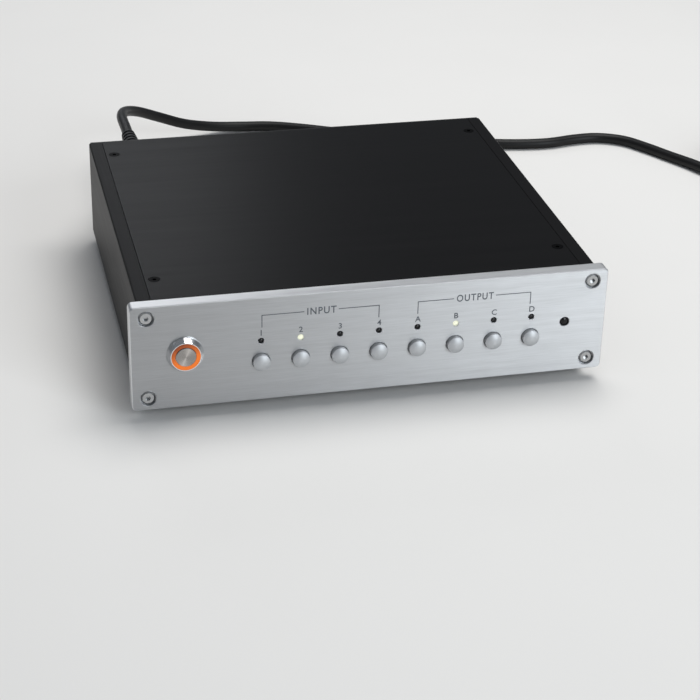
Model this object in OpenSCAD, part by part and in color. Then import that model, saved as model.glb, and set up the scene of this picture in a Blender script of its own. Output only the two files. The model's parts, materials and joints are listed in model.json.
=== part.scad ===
// Audio source selector: four stereo inputs, four stereo outputs, one thick front panel.
// Millimetres. +X is right seen from the front, +Y runs to the rear, +Z is up.
// The feet stand on z = 0, and the front panel faces -Y.

/* [Front panel] */
// Front panel width
panel_w = 244; // [240:1:270]
// Front panel height
panel_h = 57; // [56:0.5:66]
// Front panel thickness
panel_t = 7; // [6.5:0.5:10]
// Corner radius of the front panel
panel_r = 2.5; // [1:0.5:4]
// Chamfer around the front face
panel_chamfer = 0.5; // [0.2:0.1:0.8]
// Chamfer on the rims of the holes in the front face
rim_chamfer = 0.25; // [0.1:0.05:0.4]
// How far the panel stands past the case at each side
panel_lip_side = 4.5; // [3:0.5:6]
// How far the panel stands past the case above and below
panel_lip_top = 1; // [0.5:0.5:2]
// Diameter of the counterbores for the panel screws
cbore_d = 8.2; // [7.6:0.2:9]
// Depth of those counterbores
cbore_depth = 3; // [2.8:0.1:4]

/* [Case] */
// Depth from the front face to the outside of the rear panel
case_depth = 217.5; // [205:0.5:260]
// Side wall thickness
wall_t = 3.2; // [2.5:0.1:5]
// Width of the screw rails along the top and bottom of each side
rail_w = 7.3; // [6.5:0.1:9]
// Height of those rails
rail_h = 11; // [10:0.5:14]
// Width of the ledge that carries the covers
ledge_w = 14; // [11:0.5:16]
// Ledge thickness
ledge_t = 3.2; // [2.5:0.1:4]
// Chamfer on the outer long edges of the sides
edge_chamfer = 0.6; // [0.2:0.1:1]
// Top cover and bottom plate thickness
cover_t = 2.5; // [2:0.1:3.5]
// Gap between a cover and the rails beside it
cover_gap = 0.3; // [0.1:0.1:0.6]
// Rear panel thickness
rear_t = 2.5; // [2:0.1:4]
// How far the rear panel stays inside the sides
rear_inset_side = 1; // [0.5:0.1:1.5]
// How far the rear panel stays inside the top and bottom
rear_inset_top = 0.5; // [0.2:0.1:1]

/* [Feet] */
// Foot height
foot_h = 8; // [7:0.5:14]
// Foot diameter at the bottom plate
foot_d = 20; // [16:0.5:24]
// Foot diameter at the floor
foot_tip_d = 17; // [14:0.5:20]
// Foot centre from the case side
foot_inset_x = 29.5; // [24:0.5:40]
// Foot centre from the front face, and from the rear panel
foot_inset_y = 32; // [24:0.5:45]

/* [Screws] */
// Front panel screw size
panel_screw_d = 4; // [3:0.5:4]
// Front panel screw head diameter
panel_head_d = 7.2; // [6.4:0.2:7.4]
// Front panel screw head height
panel_head_h = 2.6; // [2:0.1:2.8]
// Thread length of the panel screws inside the rails
panel_thread = 12; // [8:0.5:18]
// Size of all the small screws
small_screw_d = 3; // [2.5:0.5:3]
// Small screw head diameter
small_head_d = 5.8; // [5:0.2:6.4]
// Small pan head height
small_head_h = 2; // [1.6:0.1:2.4]
// Thread length of the rear panel screws inside the rails
rear_thread = 9; // [6:0.5:14]
// Rail screw axis from the top or bottom of the case
rail_screw_inset = 5.5; // [5:0.1:5.8]
// Cover screw axis from the inner edge of the rail
cover_screw_edge = 5; // [4:0.1:6]
// Front cover screws from the front face
cover_screw_front = 31.7; // [20:0.1:45]
// Rear cover screws from the rear panel
cover_screw_rear = 21.6; // [12:0.1:40]

/* [Selector buttons and lamps] */
// First button from the left edge of the panel
button_first = 64.7; // [62:0.1:70]
// Last button from the right edge of the panel
button_last = 39.7; // [38:0.1:44]
// Button height above the lower edge of the panel
buttons_z = 21.9; // [21:0.1:25]
// Button diameter
button_d = 8.6; // [7:0.1:10]
// Radius of the domed button face
button_dome_r = 8; // [5.5:0.5:20]
// How far the dome stands out of the panel
button_proud = 3.6; // [2.6:0.1:4.4]
// Button travel
button_travel = 0.5; // [0.2:0.1:0.8]
// Diameter of the flange that keeps a button behind the panel
button_flange_d = 10.8; // [10.6:0.1:12]
// Thickness of that flange
button_flange_t = 1.2; // [0.8:0.1:1.5]
// Diameter of the stem that works the switch
stem_d = 3.4; // [2.6:0.1:3.8]
// Lamp height above the button centre
lamp_rise = 11.3; // [9:0.1:12]
// Lamp lens diameter
lamp_d = 2.8; // [2:0.1:3]
// Lamp lens length
lamp_len = 5.2; // [4:0.1:5.6]
// How far a lamp stays behind the panel face
lamp_recess = 0.2; // [0.1:0.1:0.6]
// Infra-red window from the right edge of the panel
ir_inset = 21.6; // [21:0.1:26]
// Infra-red window height above the lower edge of the panel
ir_z = 28.7; // [27:0.1:30]
// Infra-red window diameter
ir_d = 5; // [4:0.1:6]
// Radius of its domed face
ir_dome_r = 3.6; // [3.2:0.1:8]

/* [Power switch] */
// Switch from the left edge of the panel
power_inset = 26.8; // [25:0.1:30]
// Switch height above the lower edge of the panel
power_z = 29.8; // [28:0.1:31]
// Bezel diameter at the panel
bezel_d = 18.4; // [17.6:0.1:20]
// Bezel diameter at its top
bezel_top_d = 15.2; // [15:0.1:16.4]
// Bezel height
bezel_proud = 3.6; // [2.6:0.1:5]
// Outer diameter of the lit ring
ring_d = 14.4; // [13.4:0.1:14.6]
// Thickness of the lit ring
ring_t = 2; // [1.4:0.1:2.2]
// Centre cap diameter
cap_d = 10.3; // [8:0.1:10.6]
// How far the cap stands out of the ring
cap_rise = 0.4; // [0.2:0.1:1]
// Cap travel
cap_travel = 2.5; // [1:0.1:3]
// Switch barrel diameter
barrel_d = 16; // [15:0.1:16.6]
// Width of the switch nut across its flats
switch_nut_af = 19; // [18.5:0.5:22]

/* [Phono jacks] */
// Column of output D from the right of the case
jack_first = 26; // [25:0.1:30]
// Column of input 1 from the left of the case
jack_last = 69; // [67:0.1:74]
// Left channel row above the lower edge of the front panel
jack_left_z = 42.2; // [41:0.1:43]
// Right channel row above the lower edge of the front panel
jack_right_z = 19.7; // [18.6:0.1:20.4]
// How far a jack stands out of the rear panel
jack_reach = 15.5; // [13:0.1:20]
// Jack barrel diameter, which the plug slides over
jack_barrel_d = 8.3; // [8:0.1:8.8]
// Jack flange diameter
jack_flange_d = 14.4; // [13:0.1:15]
// Jack flange thickness
jack_flange_t = 1.9; // [1.2:0.1:2.4]
// Diameter of the step on the jack flange
jack_step_d = 12.8; // [12.2:0.1:12.9]
// Jack collar diameter
jack_collar_d = 11.2; // [10:0.1:12]
// Jack collar length
jack_collar_t = 2.2; // [1.4:0.1:3]
// Threaded neck diameter
jack_neck_d = 9.4; // [9.2:0.1:9.8]
// Coloured washer diameter
jack_washer_d = 15.8; // [15.2:0.1:16.6]
// Coloured washer thickness
jack_washer_t = 1.2; // [0.8:0.1:1.8]
// Insulator diameter
jack_core_d = 7; // [6:0.1:7.2]
// Pin hole diameter
jack_pin_d = 3.3; // [3.2:0.1:3.5]
// Jack nut across its flats
jack_nut_af = 12; // [11.6:0.2:14]
// Jack nut thickness
jack_nut_t = 2.2; // [1.6:0.1:3]

/* [Mains inlet] */
// Inlet from the left of the case
inlet_inset = 30.4; // [29:0.1:31.5]
// Inlet height above the lower edge of the front panel
inlet_z = 27.8; // [26:0.1:29]
// Spacing of the inlet screws
inlet_screw_pitch = 40; // [39:0.5:41]
// Width of the moulded inlet box
inlet_w = 27; // [26.6:0.1:28.5]
// Height of the inlet box
inlet_h = 30; // [29.6:0.1:31.5]
// Flange thickness
inlet_flange_t = 3; // [2:0.1:4]
// Depth of the box behind the rear panel
inlet_depth = 22; // [20.5:0.5:28]
// Socket opening width
socket_w = 24.6; // [24.2:0.1:25]
// Socket opening height
socket_h = 16.8; // [16.4:0.1:17]
// Socket centre above the inlet centre
socket_rise = 5; // [4.8:0.1:5.2]
// Socket depth from the flange face
socket_depth = 16.5; // [15.5:0.1:17]
// Fuse drawer width
drawer_w = 22; // [21.8:0.1:22.6]
// Fuse drawer height
drawer_h = 7; // [6.8:0.1:7.2]

/* [Boards] */
// Gap between the front panel and the control board
control_gap = 8; // [7.6:0.1:10]
// Control board from the right of the case
control_inset = 7.5; // [7:0.1:8.5]
// Control board from the middle of the power switch
control_clear = 25.2; // [24:0.1:26]
// Control board height
control_h = 30; // [28:0.5:31]
// Board thickness
board_t = 1.6; // [1:0.1:2]
// Gap between the rear panel and the relay board
relay_gap = 12; // [10:0.5:16]
// Relay width
relay_w = 10; // [8:0.1:11]
// Relay height
relay_h = 19.6; // [17:0.1:19.8]
// Relay depth
relay_d = 11; // [9:0.5:14]
// Power board width
power_board_w = 80; // [76:1:90]
// Power board depth
power_board_l = 62; // [60:1:70]
// Middle of the power board
power_board_x = -42; // [-46:0.5:-40]
// Front edge of the power board from the front face
power_board_y = 78; // [66:1:84]
// Height of the boards' standoffs above the bottom plate
standoff_h = 8; // [6:0.5:10]

/* [Mains lead] */
// Cord diameter
cord_d = 6.6; // [6:0.1:7]
// Grip length of the connector behind the inlet
grip_l = 32; // [28:0.5:40]
// Strain relief length
relief_l = 28; // [20:1:40]
// Outer radius of the coil at the middle of the cord
coil_r = 43; // [41:0.5:48]
// Turns from the outside of the coil to its inside
coil_turns = 2; // [1:1:3]
// Plug body diameter
plug_d = 36.6; // [34:0.2:38]
// Plug pin diameter
plug_pin_d = 4.8; // [4:0.1:5]
// Spacing of the plug pins
plug_pin_pitch = 19; // [18:0.5:20]

/* [Hidden] */
$fn = 64;

// Clearances: screws and studs in their bores, static seats, sliding fits, moving parts in holes
bore_gap = 0.05;
hole_gap = 0.2;
slide_gap = 0.1;
move_gap = 0.2;
rest_gap = 0.15;

// Levels along Y, centred on the object from the switch cap to the jack tips
cap_proud = bezel_proud + cap_rise;
face_y = (cap_proud - case_depth - jack_reach) / 2;
back_y = face_y + panel_t;
rear_y = face_y + case_depth;
wall_y = rear_y - rear_t;
case_len = wall_y - back_y;

// Levels along Z and the case cross-section
case_w = panel_w - 2 * panel_lip_side;
case_h = panel_h - 2 * panel_lip_top;
panel_z = foot_h - panel_lip_top;
base_z = foot_h;
top_z = base_z + case_h;
inner_z = base_z + cover_t;
cover_w = case_w - 2 * rail_w - 2 * cover_gap;

// Screw places
rail_x = case_w / 2 - rail_w / 2;
rail_zs = [base_z + rail_screw_inset, top_z - rail_screw_inset];
cover_x = case_w / 2 - rail_w - cover_screw_edge;
cover_ys = [face_y + cover_screw_front, rear_y - cover_screw_rear];
foot_x = case_w / 2 - foot_inset_x;
foot_ys = [face_y + foot_inset_y, rear_y - foot_inset_y];
foot_seat = 4.5;
sink_h = 1.7;
small_thread = 5.6;

// Buttons and lamps, numbered from the left
BUTTONS = ["input_button_1", "input_button_2", "input_button_3", "input_button_4",
           "output_button_a", "output_button_b", "output_button_c", "output_button_d"];
LIT = [1, 5];
UNLIT = [0, 2, 3, 4, 6, 7];
button_pitch = (panel_w - button_first - button_last) / (len(BUTTONS) - 1);
function button_x(i) = button_first - panel_w / 2 + button_pitch * i;
button_z = panel_z + buttons_z;
lamp_z = button_z + lamp_rise;
lamp_flange_y = face_y + lamp_recess + lamp_len;
lamp_lip = 0.3;
lamp_flange_d = lamp_d + 2 * lamp_lip;
lamp_flange_t = 1;
lead_w = 0.5;
lead_pitch = 1.8;
ir_x = panel_w / 2 - ir_inset;
ir_seat = 3.5;
ir_flange_d = ir_d + 1.4;
ir_flange_t = 1.2;

// Control board, its switches and standoffs
power_x = power_inset - panel_w / 2;
control_w = case_w / 2 - control_inset - power_x - control_clear;
control_x = case_w / 2 - control_inset - control_w / 2;
control_rise = 5.1;
control_z = button_z + control_rise;
post_inset = 4;
board_y = back_y + control_gap;
tact_w = 6;
tact_h = 3.5;
tact_bore = 2.6;
stem_end = board_y - tact_h + tact_bore - button_travel - 0.3;
standoff_af = 5.5;
stud_len = 3.5;
stud_d = small_screw_d - 2 * bore_gap;
control_posts = [for (sx = [-1, 1], sz = [-1, 1])
    [control_x + sx * (control_w / 2 - post_inset), control_z + sz * (control_h / 2 - post_inset)]];

// Power switch, with distances along +Y from the panel face
bezel_rim = 0.8;
cap_bore_d = cap_d + 2 * move_gap;
cap_shoulder_d = cap_d + 1.8;
cap_shoulder_t = 2;
lip_s = ring_t - bezel_proud + 3;
chamber_s = lip_s + rest_gap + cap_shoulder_t + cap_travel + 0.4;
switch_nut_t = 3;
barrel_s = panel_t + switch_nut_t + 5;
switch_s = barrel_s + 10;
switch_tail_d = barrel_d - 1.4;
tab_l = 6;
tab_pitch = 6.4;
tab_drop = 3;
wire_d = 2;
wire_lead = 12;
wire_apart = 2.5;

// Phono jacks: columns run from output D at the right to input 1 at the left
COLUMNS = 8;
jack_pitch = (case_w - jack_first - jack_last) / (COLUMNS - 1);
jacks_x = (jack_last - jack_first) / 2;
function jack_x(i) = jacks_x + jack_pitch * ((COLUMNS - 1) / 2 - i);
jack_rows = [panel_z + jack_left_z, panel_z + jack_right_z];
jack_neck_l = rear_t + jack_nut_t + 2;
jack_board_s = rear_t + relay_gap;
contact_d = jack_pin_d + 1.1;
contact_back = 6;
contact_front = jack_reach - 2.2;
core_front = jack_reach - 0.4;
tail_d = 1.6;
relay_y = rear_y - jack_board_s - board_t;
relay_margin = 7;

// Mains inlet, with distances outwards from the rear panel
inlet_x = inlet_inset - case_w / 2;
inlet_zc = panel_z + inlet_z;
socket_z = inlet_zc + socket_rise;
socket_cut = 4.6;
socket_floor = inlet_flange_t - socket_depth;
ear_w = 5;
ear_h = 3.5;
pin_w = 2;
pin_h = 4;
pin_pitch = 14;
pin_drop = 2;
pin_tip = inlet_flange_t - 2;
pin_tail = 8;
drawer_gap = 0.3;
drawer_z = socket_z - socket_h / 2 - 2.2 - drawer_gap - drawer_h / 2;
drawer_l = inlet_depth - 2;
drawer_lip = 0.6;
drawer_lip_t = 1.4;
fuse_d = 5.2;
fuse_l = 20;
fuse_cap_l = 5;
bay_l = fuse_d + 0.6;
bay_floor = 0.9;
fuse_s = inlet_flange_t - drawer_l + 1 + bay_l / 2;
fuse_z = drawer_z - drawer_h / 2 + bay_floor + fuse_d / 2 + bore_gap;

// Mains lead: connector, cord, coil and plug
nose_gap = 0.35;
grip_s = inlet_flange_t + 1;
nose_l = socket_depth - 1.5;
grip_w = socket_w + 2.8;
grip_h = socket_h + 2.4;
grip_r = 4;
relief_s = grip_s + grip_l;
exit_s = relief_s + relief_l;
cord_exit = [inlet_x, rear_y + exit_s, socket_z];
tie_t = 0.8;
tie_gap = 0.6;
tie_w = 5;
coil_z = cord_d / 2 + tie_gap + tie_t + 0.1;
coil_step = cord_d + 0.6;
coil_c = [336, 122];
coil_start = 208;
coil_end = coil_start + 720 * coil_turns;
coil_steps = 24;
plug_z = plug_d / 2 + 0.2;
tail_l = 48;

// The cord's route between the connector and the coil, seen in the photograph
cord_route = [
    [-87, 200, 39], [-83, 217, 36], [-73, 231, 30], [-58, 242, 21], [-40, 250, 12],
    [-20, 257, 6], [0, 260, 3.5], [20, 257, 3.5], [40, 249, 3.5], [60, 239, 3.5],
    [80, 230, 3.5], [100, 221, 3.5], [120, 213, 3.5], [140, 206, 3.5], [160, 200, 3.5],
    [180, 196, 3.5], [198, 195, 3.5], [216, 198, 3.5], [233, 198, 3.5], [249, 190, 3.5],
    [260, 175, 3.5], [270, 158, 3.5], [280, 140, 4]];

// Which node to draw

// Shared shapes

// Cylinder or cone along +Y
module y_rod(x, y, z, l, d, d2 = undef) {
    translate([x, y, z]) rotate([-90, 0, 0])
        cylinder(h = l, d1 = d, d2 = is_undef(d2) ? d : d2);
}

// Hexagon prism along +Y, measured across its flats
module y_hex(x, y, z, l, af) {
    translate([x, y, z]) rotate([-90, 0, 0]) cylinder(h = l, d = af / cos(30), $fn = 6);
}

// Block given by its middle in X and Z and its start in Y
module y_block(x, y, z, w, l, h) {
    translate([x - w / 2, y, z - h / 2]) cube([w, l, h]);
}

// Profile of [radius, distance along +Y] turned about the line through x, z
module y_turn(x, y, z, profile) {
    translate([x, y, z]) rotate([-90, 0, 0]) rotate_extrude() polygon(profile);
}

// Flat outline in X and Z, drawn out along +Y
module y_prism(x, y, z, l) {
    translate([x, y + l, z]) rotate([90, 0, 0]) linear_extrude(l) children();
}

// Rectangle with round corners
module round_rect(w, h, r) {
    square([w - 2 * r, h], center = true);
    square([w, h - 2 * r], center = true);
    for (sx = [-1, 1], sy = [-1, 1])
        translate([sx * (w / 2 - r), sy * (h / 2 - r)]) circle(r);
}

// Places the children at the four corners of the case's rails
module at_rails() {
    for (sx = [-1, 1], z = rail_zs) translate([sx * rail_x, 0, z]) children();
}

// Places the children at the four cover screws
module at_covers() {
    for (sx = [-1, 1], y = cover_ys) translate([sx * cover_x, y, 0]) children();
}

// Places the children at the four feet
module at_feet() {
    for (sx = [-1, 1], y = foot_ys) translate([sx * foot_x, y, 0]) children();
}

// Places the children at each column of one jack row
module at_jacks(row) {
    for (i = [0 : COLUMNS - 1]) translate([jack_x(i), rear_y, jack_rows[row]]) children();
}

// Places the children at the four corners of the power board
module at_power_posts() {
    for (sx = [-1, 1], sy = [-1, 1])
        translate([power_board_x + sx * (power_board_w / 2 - post_inset), face_y + power_board_y
                   + power_board_l / 2 + sy * (power_board_l / 2 - post_inset), 0]) children();
}

// Case

// Cutter for a hole through the front panel with a chamfered rim
module panel_hole(x, z, d, depth) {
    y_rod(x, face_y - 1, z, depth + 1, d);
    y_rod(x, face_y - 1, z, 1 + rim_chamfer, d + 2 + 2 * rim_chamfer, d);
}

// Cutter that takes the chamfer off the outline of the front face
module panel_edge_cut() {
    w = panel_w / 2 - panel_r;
    h = panel_h / 2 - panel_r;
    over = 0.1;
    slope = [[panel_r - panel_chamfer - over, over], [panel_r + over, over],
             [panel_r + over, -panel_chamfer - over]];
    translate([0, face_y, panel_z + panel_h / 2]) rotate([90, 0, 0]) for (a = [0, 180]) rotate(a) {
        translate([w, h, 0]) rotate([90, 0, 0]) linear_extrude(2 * h) polygon(slope);
        rotate(90) translate([h, w, 0]) rotate([90, 0, 0]) linear_extrude(2 * w) polygon(slope);
        translate([w, h, 0]) rotate_extrude(angle = 90) polygon(slope);
        translate([-w, h, 0]) rotate(90) rotate_extrude(angle = 90) polygon(slope);
    }
}

// The thick front panel with everything that passes through it
module front_panel() {
    color("#c9ced3") difference() {
        y_prism(0, face_y, panel_z + panel_h / 2, panel_t) round_rect(panel_w, panel_h, panel_r);
        panel_edge_cut();
        at_rails() {
            y_rod(0, face_y - 1, 0, panel_t + 2, panel_screw_d + 2 * hole_gap);
            panel_hole(0, 0, cbore_d, cbore_depth);
        }
        for (i = [0 : len(BUTTONS) - 1]) {
            panel_hole(button_x(i), button_z, button_d + 2 * move_gap, panel_t + 1);
            panel_hole(button_x(i), lamp_z, lamp_d + 2 * slide_gap, panel_t + 1);
            y_rod(button_x(i), lamp_flange_y, lamp_z, panel_t, lamp_flange_d + 2 * hole_gap);
        }
        panel_hole(ir_x, panel_z + ir_z, ir_d, panel_t + 1);
        y_rod(ir_x, face_y + ir_seat, panel_z + ir_z, panel_t, ir_flange_d + 2 * slide_gap);
        y_rod(power_x, face_y - 1, panel_z + power_z, panel_t + 2, barrel_d + 2 * hole_gap);
        for (p = control_posts)
            y_rod(p.x, back_y - stud_len - hole_gap, p.y, panel_t, small_screw_d);
    }
}

// Outline of one side extrusion: wall, two screw rails and two cover ledges
module side_profile() {
    ledge_in = rail_w + ledge_w;
    low = [[edge_chamfer, 0], [rail_w, 0], [rail_w, cover_t], [ledge_in, cover_t],
           [ledge_in, cover_t + ledge_t], [rail_w, cover_t + ledge_t], [rail_w, rail_h],
           [wall_t, rail_h]];
    high = [for (i = [len(low) - 1 : -1 : 0]) [low[i].x, case_h - low[i].y]];
    polygon(concat(low, high, [[0, case_h - edge_chamfer], [0, edge_chamfer]]));
}

// The left side extrusion, drilled at both ends and in its ledges
module side_body() {
    difference() {
        y_prism(-case_w / 2, back_y, base_z, case_len) side_profile();
        for (z = rail_zs) {
            y_rod(-rail_x, back_y - 1, z, panel_thread + 3, panel_screw_d);
            y_rod(-rail_x, wall_y - rear_thread - 2, z, rear_thread + 3, small_screw_d);
        }
        for (y = cover_ys) translate([-cover_x, y, base_z - 1])
            cylinder(h = case_h + 2, d = small_screw_d);
    }
}

module left_side_panel() {
    color("#2b2b2f") side_body();
}

module right_side_panel() {
    color("#2b2b2f") mirror([1, 0, 0]) side_body();
}

// Flat cover with four countersunk holes, its inner face on z = 0
module cover_plate() {
    difference() {
        translate([-cover_w / 2, back_y, 0]) cube([cover_w, case_len, cover_t]);
        at_covers() {
            translate([0, 0, -1]) cylinder(h = cover_t + 2, d = small_screw_d + 2 * hole_gap);
            translate([0, 0, cover_t - sink_h - hole_gap])
                cylinder(h = sink_h + hole_gap, d1 = small_screw_d + 2 * hole_gap,
                         d2 = small_head_d + 2 * hole_gap);
        }
    }
}

module top_cover() {
    color("#232327") translate([0, 0, top_z - cover_t]) cover_plate();
}

// The bottom plate also takes the feet and the power board's studs
module bottom_plate() {
    color("#232327") difference() {
        translate([0, 0, inner_z]) mirror([0, 0, 1]) cover_plate();
        at_feet() translate([0, 0, base_z - 1]) cylinder(h = cover_t + 2, d = panel_screw_d);
        at_power_posts() translate([0, 0, base_z - 1])
            cylinder(h = cover_t + 2, d = small_screw_d);
    }
}

// Rear panel with the jack holes, the inlet opening and its screw holes
module rear_panel() {
    w = case_w - 2 * rear_inset_side;
    h = case_h - 2 * rear_inset_top;
    color("#29292d") difference() {
        y_block(0, wall_y, base_z + case_h / 2, w, rear_t, h);
        at_rails() y_rod(0, wall_y - 1, 0, rear_t + 2, small_screw_d + 2 * hole_gap);
        for (row = [0, 1]) at_jacks(row)
            y_rod(0, -rear_t - 1, 0, rear_t + 2, jack_neck_d + 2 * hole_gap);
        y_block(inlet_x, wall_y - 1, inlet_zc, inlet_w + 2 * hole_gap, rear_t + 2,
                inlet_h + 2 * hole_gap);
        for (sx = [-1, 1])
            y_rod(inlet_x + sx * inlet_screw_pitch / 2, wall_y - 1, inlet_zc, rear_t + 2,
                  small_screw_d);
    }
}

// Screws and feet

// Button-head socket screw along +Y, its seat at y = 0
module socket_screw(d, head_d, head_h, l) {
    round_h = head_h * 0.4;
    difference() {
        union() {
            y_rod(0, 0, 0, l, d - 2 * bore_gap);
            y_rod(0, round_h - head_h, 0, head_h - round_h, head_d);
            y_rod(0, -head_h, 0, round_h, head_d * 0.78, head_d);
        }
        y_hex(0, -head_h - 1, 0, head_h * 0.6 + 1, d * 0.62);
    }
}

// Countersunk socket screw along -Z, its flat top on z = 0
module sunk_screw(l) {
    d = small_screw_d - 2 * bore_gap;
    difference() {
        union() {
            translate([0, 0, -l]) cylinder(h = l, d = d);
            translate([0, 0, -sink_h]) cylinder(h = sink_h, d1 = d, d2 = small_head_d);
        }
        translate([0, 0, -1]) cylinder(h = 2, d = 2 / cos(30), $fn = 6);
    }
}

module front_panel_screws() {
    color("#d5d7d9") at_rails() translate([0, face_y + cbore_depth, 0])
        socket_screw(panel_screw_d, panel_head_d, panel_head_h,
                     panel_t - cbore_depth + panel_thread);
}

module rear_panel_screws() {
    color("#3a3a3d") at_rails() translate([0, rear_y, 0]) mirror([0, 1, 0])
        socket_screw(small_screw_d, small_head_d, small_head_h, rear_t + rear_thread);
}

module top_cover_screws() {
    color("#3a3a3d") at_covers() translate([0, 0, top_z]) sunk_screw(cover_t + small_thread);
}

module bottom_plate_screws() {
    color("#3a3a3d") at_covers() translate([0, 0, base_z]) mirror([0, 0, 1])
        sunk_screw(cover_t + small_thread);
}

// Rubber feet with a deep seat for their screws
module feet() {
    color("#1b1b1b") at_feet() rotate_extrude() polygon([
        [panel_screw_d / 2 + hole_gap, foot_seat], [panel_head_d / 2 + hole_gap, foot_seat],
        [panel_head_d / 2 + hole_gap, 0], [foot_tip_d / 2 - 0.8, 0], [foot_tip_d / 2, 0.8],
        [foot_d / 2, foot_h - 1.5], [foot_d / 2, foot_h], [panel_screw_d / 2 + hole_gap, foot_h]]);
}

module foot_screws() {
    color("#8d8f92") at_feet() translate([0, 0, foot_seat]) rotate([90, 0, 0])
        socket_screw(panel_screw_d, panel_head_d, panel_head_h, foot_h - foot_seat + cover_t + 1);
}

// Power switch

// Polished bezel, threaded barrel and contact block, hollow for the cap
module power_switch_body() {
    seat_r = ring_d / 2 + bore_gap;
    color("#d9dbdd") {
        y_turn(power_x, face_y, panel_z + power_z, [
            [0, chamber_s], [cap_shoulder_d / 2 + move_gap, chamber_s],
            [cap_shoulder_d / 2 + move_gap, lip_s], [cap_bore_d / 2, lip_s],
            [cap_bore_d / 2, ring_t - bezel_proud], [seat_r, ring_t - bezel_proud],
            [seat_r, -bezel_proud], [bezel_top_d / 2, -bezel_proud], [bezel_d / 2, -bezel_rim],
            [bezel_d / 2, 0], [barrel_d / 2, 0], [barrel_d / 2, barrel_s],
            [switch_tail_d / 2, barrel_s], [switch_tail_d / 2, switch_s], [0, switch_s]]);
        for (sx = [-1, 1], sz = [-1, 1])
            y_block(power_x + sx * tab_pitch / 2, face_y + switch_s - 1,
                    panel_z + power_z + sz * tab_drop, 0.6, tab_l + 1, 2.8);
    }
}

// Translucent ring around the cap
module power_switch_ring() {
    color("#f08030") y_turn(power_x, face_y, panel_z + power_z, [
        [cap_bore_d / 2, ring_t - bezel_proud], [ring_d / 2, ring_t - bezel_proud],
        [ring_d / 2, 0.3 - bezel_proud], [ring_d / 2 - 0.3, -bezel_proud],
        [cap_bore_d / 2, -bezel_proud]]);
}

// Spun metal cap, kept in by its shoulder
module power_switch_cap() {
    dish_r = 40;
    shoulder_s = lip_s + rest_gap;
    color("#c4c6c8") difference() {
        y_turn(power_x, face_y, panel_z + power_z, [
            [0, shoulder_s + cap_shoulder_t], [cap_shoulder_d / 2, shoulder_s + cap_shoulder_t],
            [cap_shoulder_d / 2, shoulder_s], [cap_d / 2, shoulder_s],
            [cap_d / 2, 0.3 - cap_proud], [cap_d / 2 - 0.3, -cap_proud], [0, -cap_proud]]);
        translate([power_x, face_y - cap_proud + 0.2 - dish_r, panel_z + power_z])
            sphere(dish_r, $fn = 96);
    }
}

module power_switch_nut() {
    color("#b9bbbd") difference() {
        y_hex(power_x, back_y, panel_z + power_z, switch_nut_t, switch_nut_af);
        y_rod(power_x, back_y - 1, panel_z + power_z, switch_nut_t + 2, barrel_d + 2 * bore_gap);
    }
}

// Selector buttons, lamps and the control board

// Rod along Y whose front end is a dome
module domed_rod(x, y, z, length, d, dome_r) {
    intersection() {
        y_rod(x, y, z, length, d);
        translate([x, y + dome_r, z]) rotate([-90, 0, 0]) union() {
            sphere(dome_r);
            cylinder(h = length, r = dome_r);
        }
    }
}

// Domed button with the flange that keeps it in and the stem that works its switch
module selector_button(i) {
    flange_y = back_y + rest_gap;
    color("#d8dadc") {
        domed_rod(button_x(i), face_y - button_proud, button_z, panel_t + button_proud + 1,
                  button_d, button_dome_r);
        y_rod(button_x(i), flange_y, button_z, button_flange_t, button_flange_d);
        y_rod(button_x(i), flange_y, button_z, stem_end - flange_y, stem_d);
    }
}

// Round lamp with its flange and two leads
module lamp(i) {
    r = lamp_d / 2;
    tip_y = face_y + lamp_recess;
    flange_end = lamp_flange_y + lamp_flange_t;
    translate([button_x(i), tip_y + r, lamp_z]) rotate([-90, 0, 0]) sphere(r);
    y_rod(button_x(i), tip_y + r, lamp_z, lamp_len - r + 0.5, lamp_d);
    y_rod(button_x(i), lamp_flange_y, lamp_z, lamp_flange_t, lamp_flange_d);
    for (sx = [-1, 1])
        y_block(button_x(i) + sx * lead_pitch / 2, flange_end - 0.5, lamp_z, lead_w,
                board_y - flange_end + 0.5, lead_w);
}

module lit_lamps() {
    color("#fff6c8") for (i = LIT) lamp(i);
}

module unlit_lamps() {
    color("#5a5a58") for (i = UNLIT) lamp(i);
}

// Dark domed lens seated on a step in the front panel
module ir_window() {
    color("#1a0d10") {
        domed_rod(ir_x, face_y + 0.1, panel_z + ir_z, ir_seat, ir_d - 2 * bore_gap, ir_dome_r);
        y_rod(ir_x, face_y + ir_seat, panel_z + ir_z, ir_flange_t, ir_flange_d);
    }
}

// Receiver block with its moulded lens
module ir_receiver() {
    body_d = 4;
    color("#151515") {
        y_block(ir_x, board_y - body_d, panel_z + ir_z, 5.6, body_d, 6.6);
        translate([ir_x, board_y - body_d, panel_z + ir_z]) sphere(2);
    }
}

module control_board() {
    color("#2f5d3a") difference() {
        y_block(control_x, board_y, control_z, control_w, board_t, control_h);
        for (p = control_posts)
            y_rod(p.x, board_y - 1, p.y, board_t + 2, small_screw_d + 2 * hole_gap);
    }
}

// One switch behind each button, bored for the button's stem
module tact_switches() {
    color("#202022") for (i = [0 : len(BUTTONS) - 1]) difference() {
        y_block(button_x(i), board_y - tact_h, button_z, tact_w, tact_h, tact_w);
        y_rod(button_x(i), board_y - tact_h - 1, button_z, tact_bore + 1, stem_d + 2 * slide_gap);
    }
}

// Hexagon standoff along +Y with a stud at its start and a thread at its end
module standoff(l, stud_l) {
    difference() {
        union() {
            y_hex(0, 0, 0, l, standoff_af);
            y_rod(0, -stud_l, 0, stud_l + 1, stud_d);
        }
        y_rod(0, l - small_thread, 0, small_thread + 1, small_screw_d);
    }
}

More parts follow.
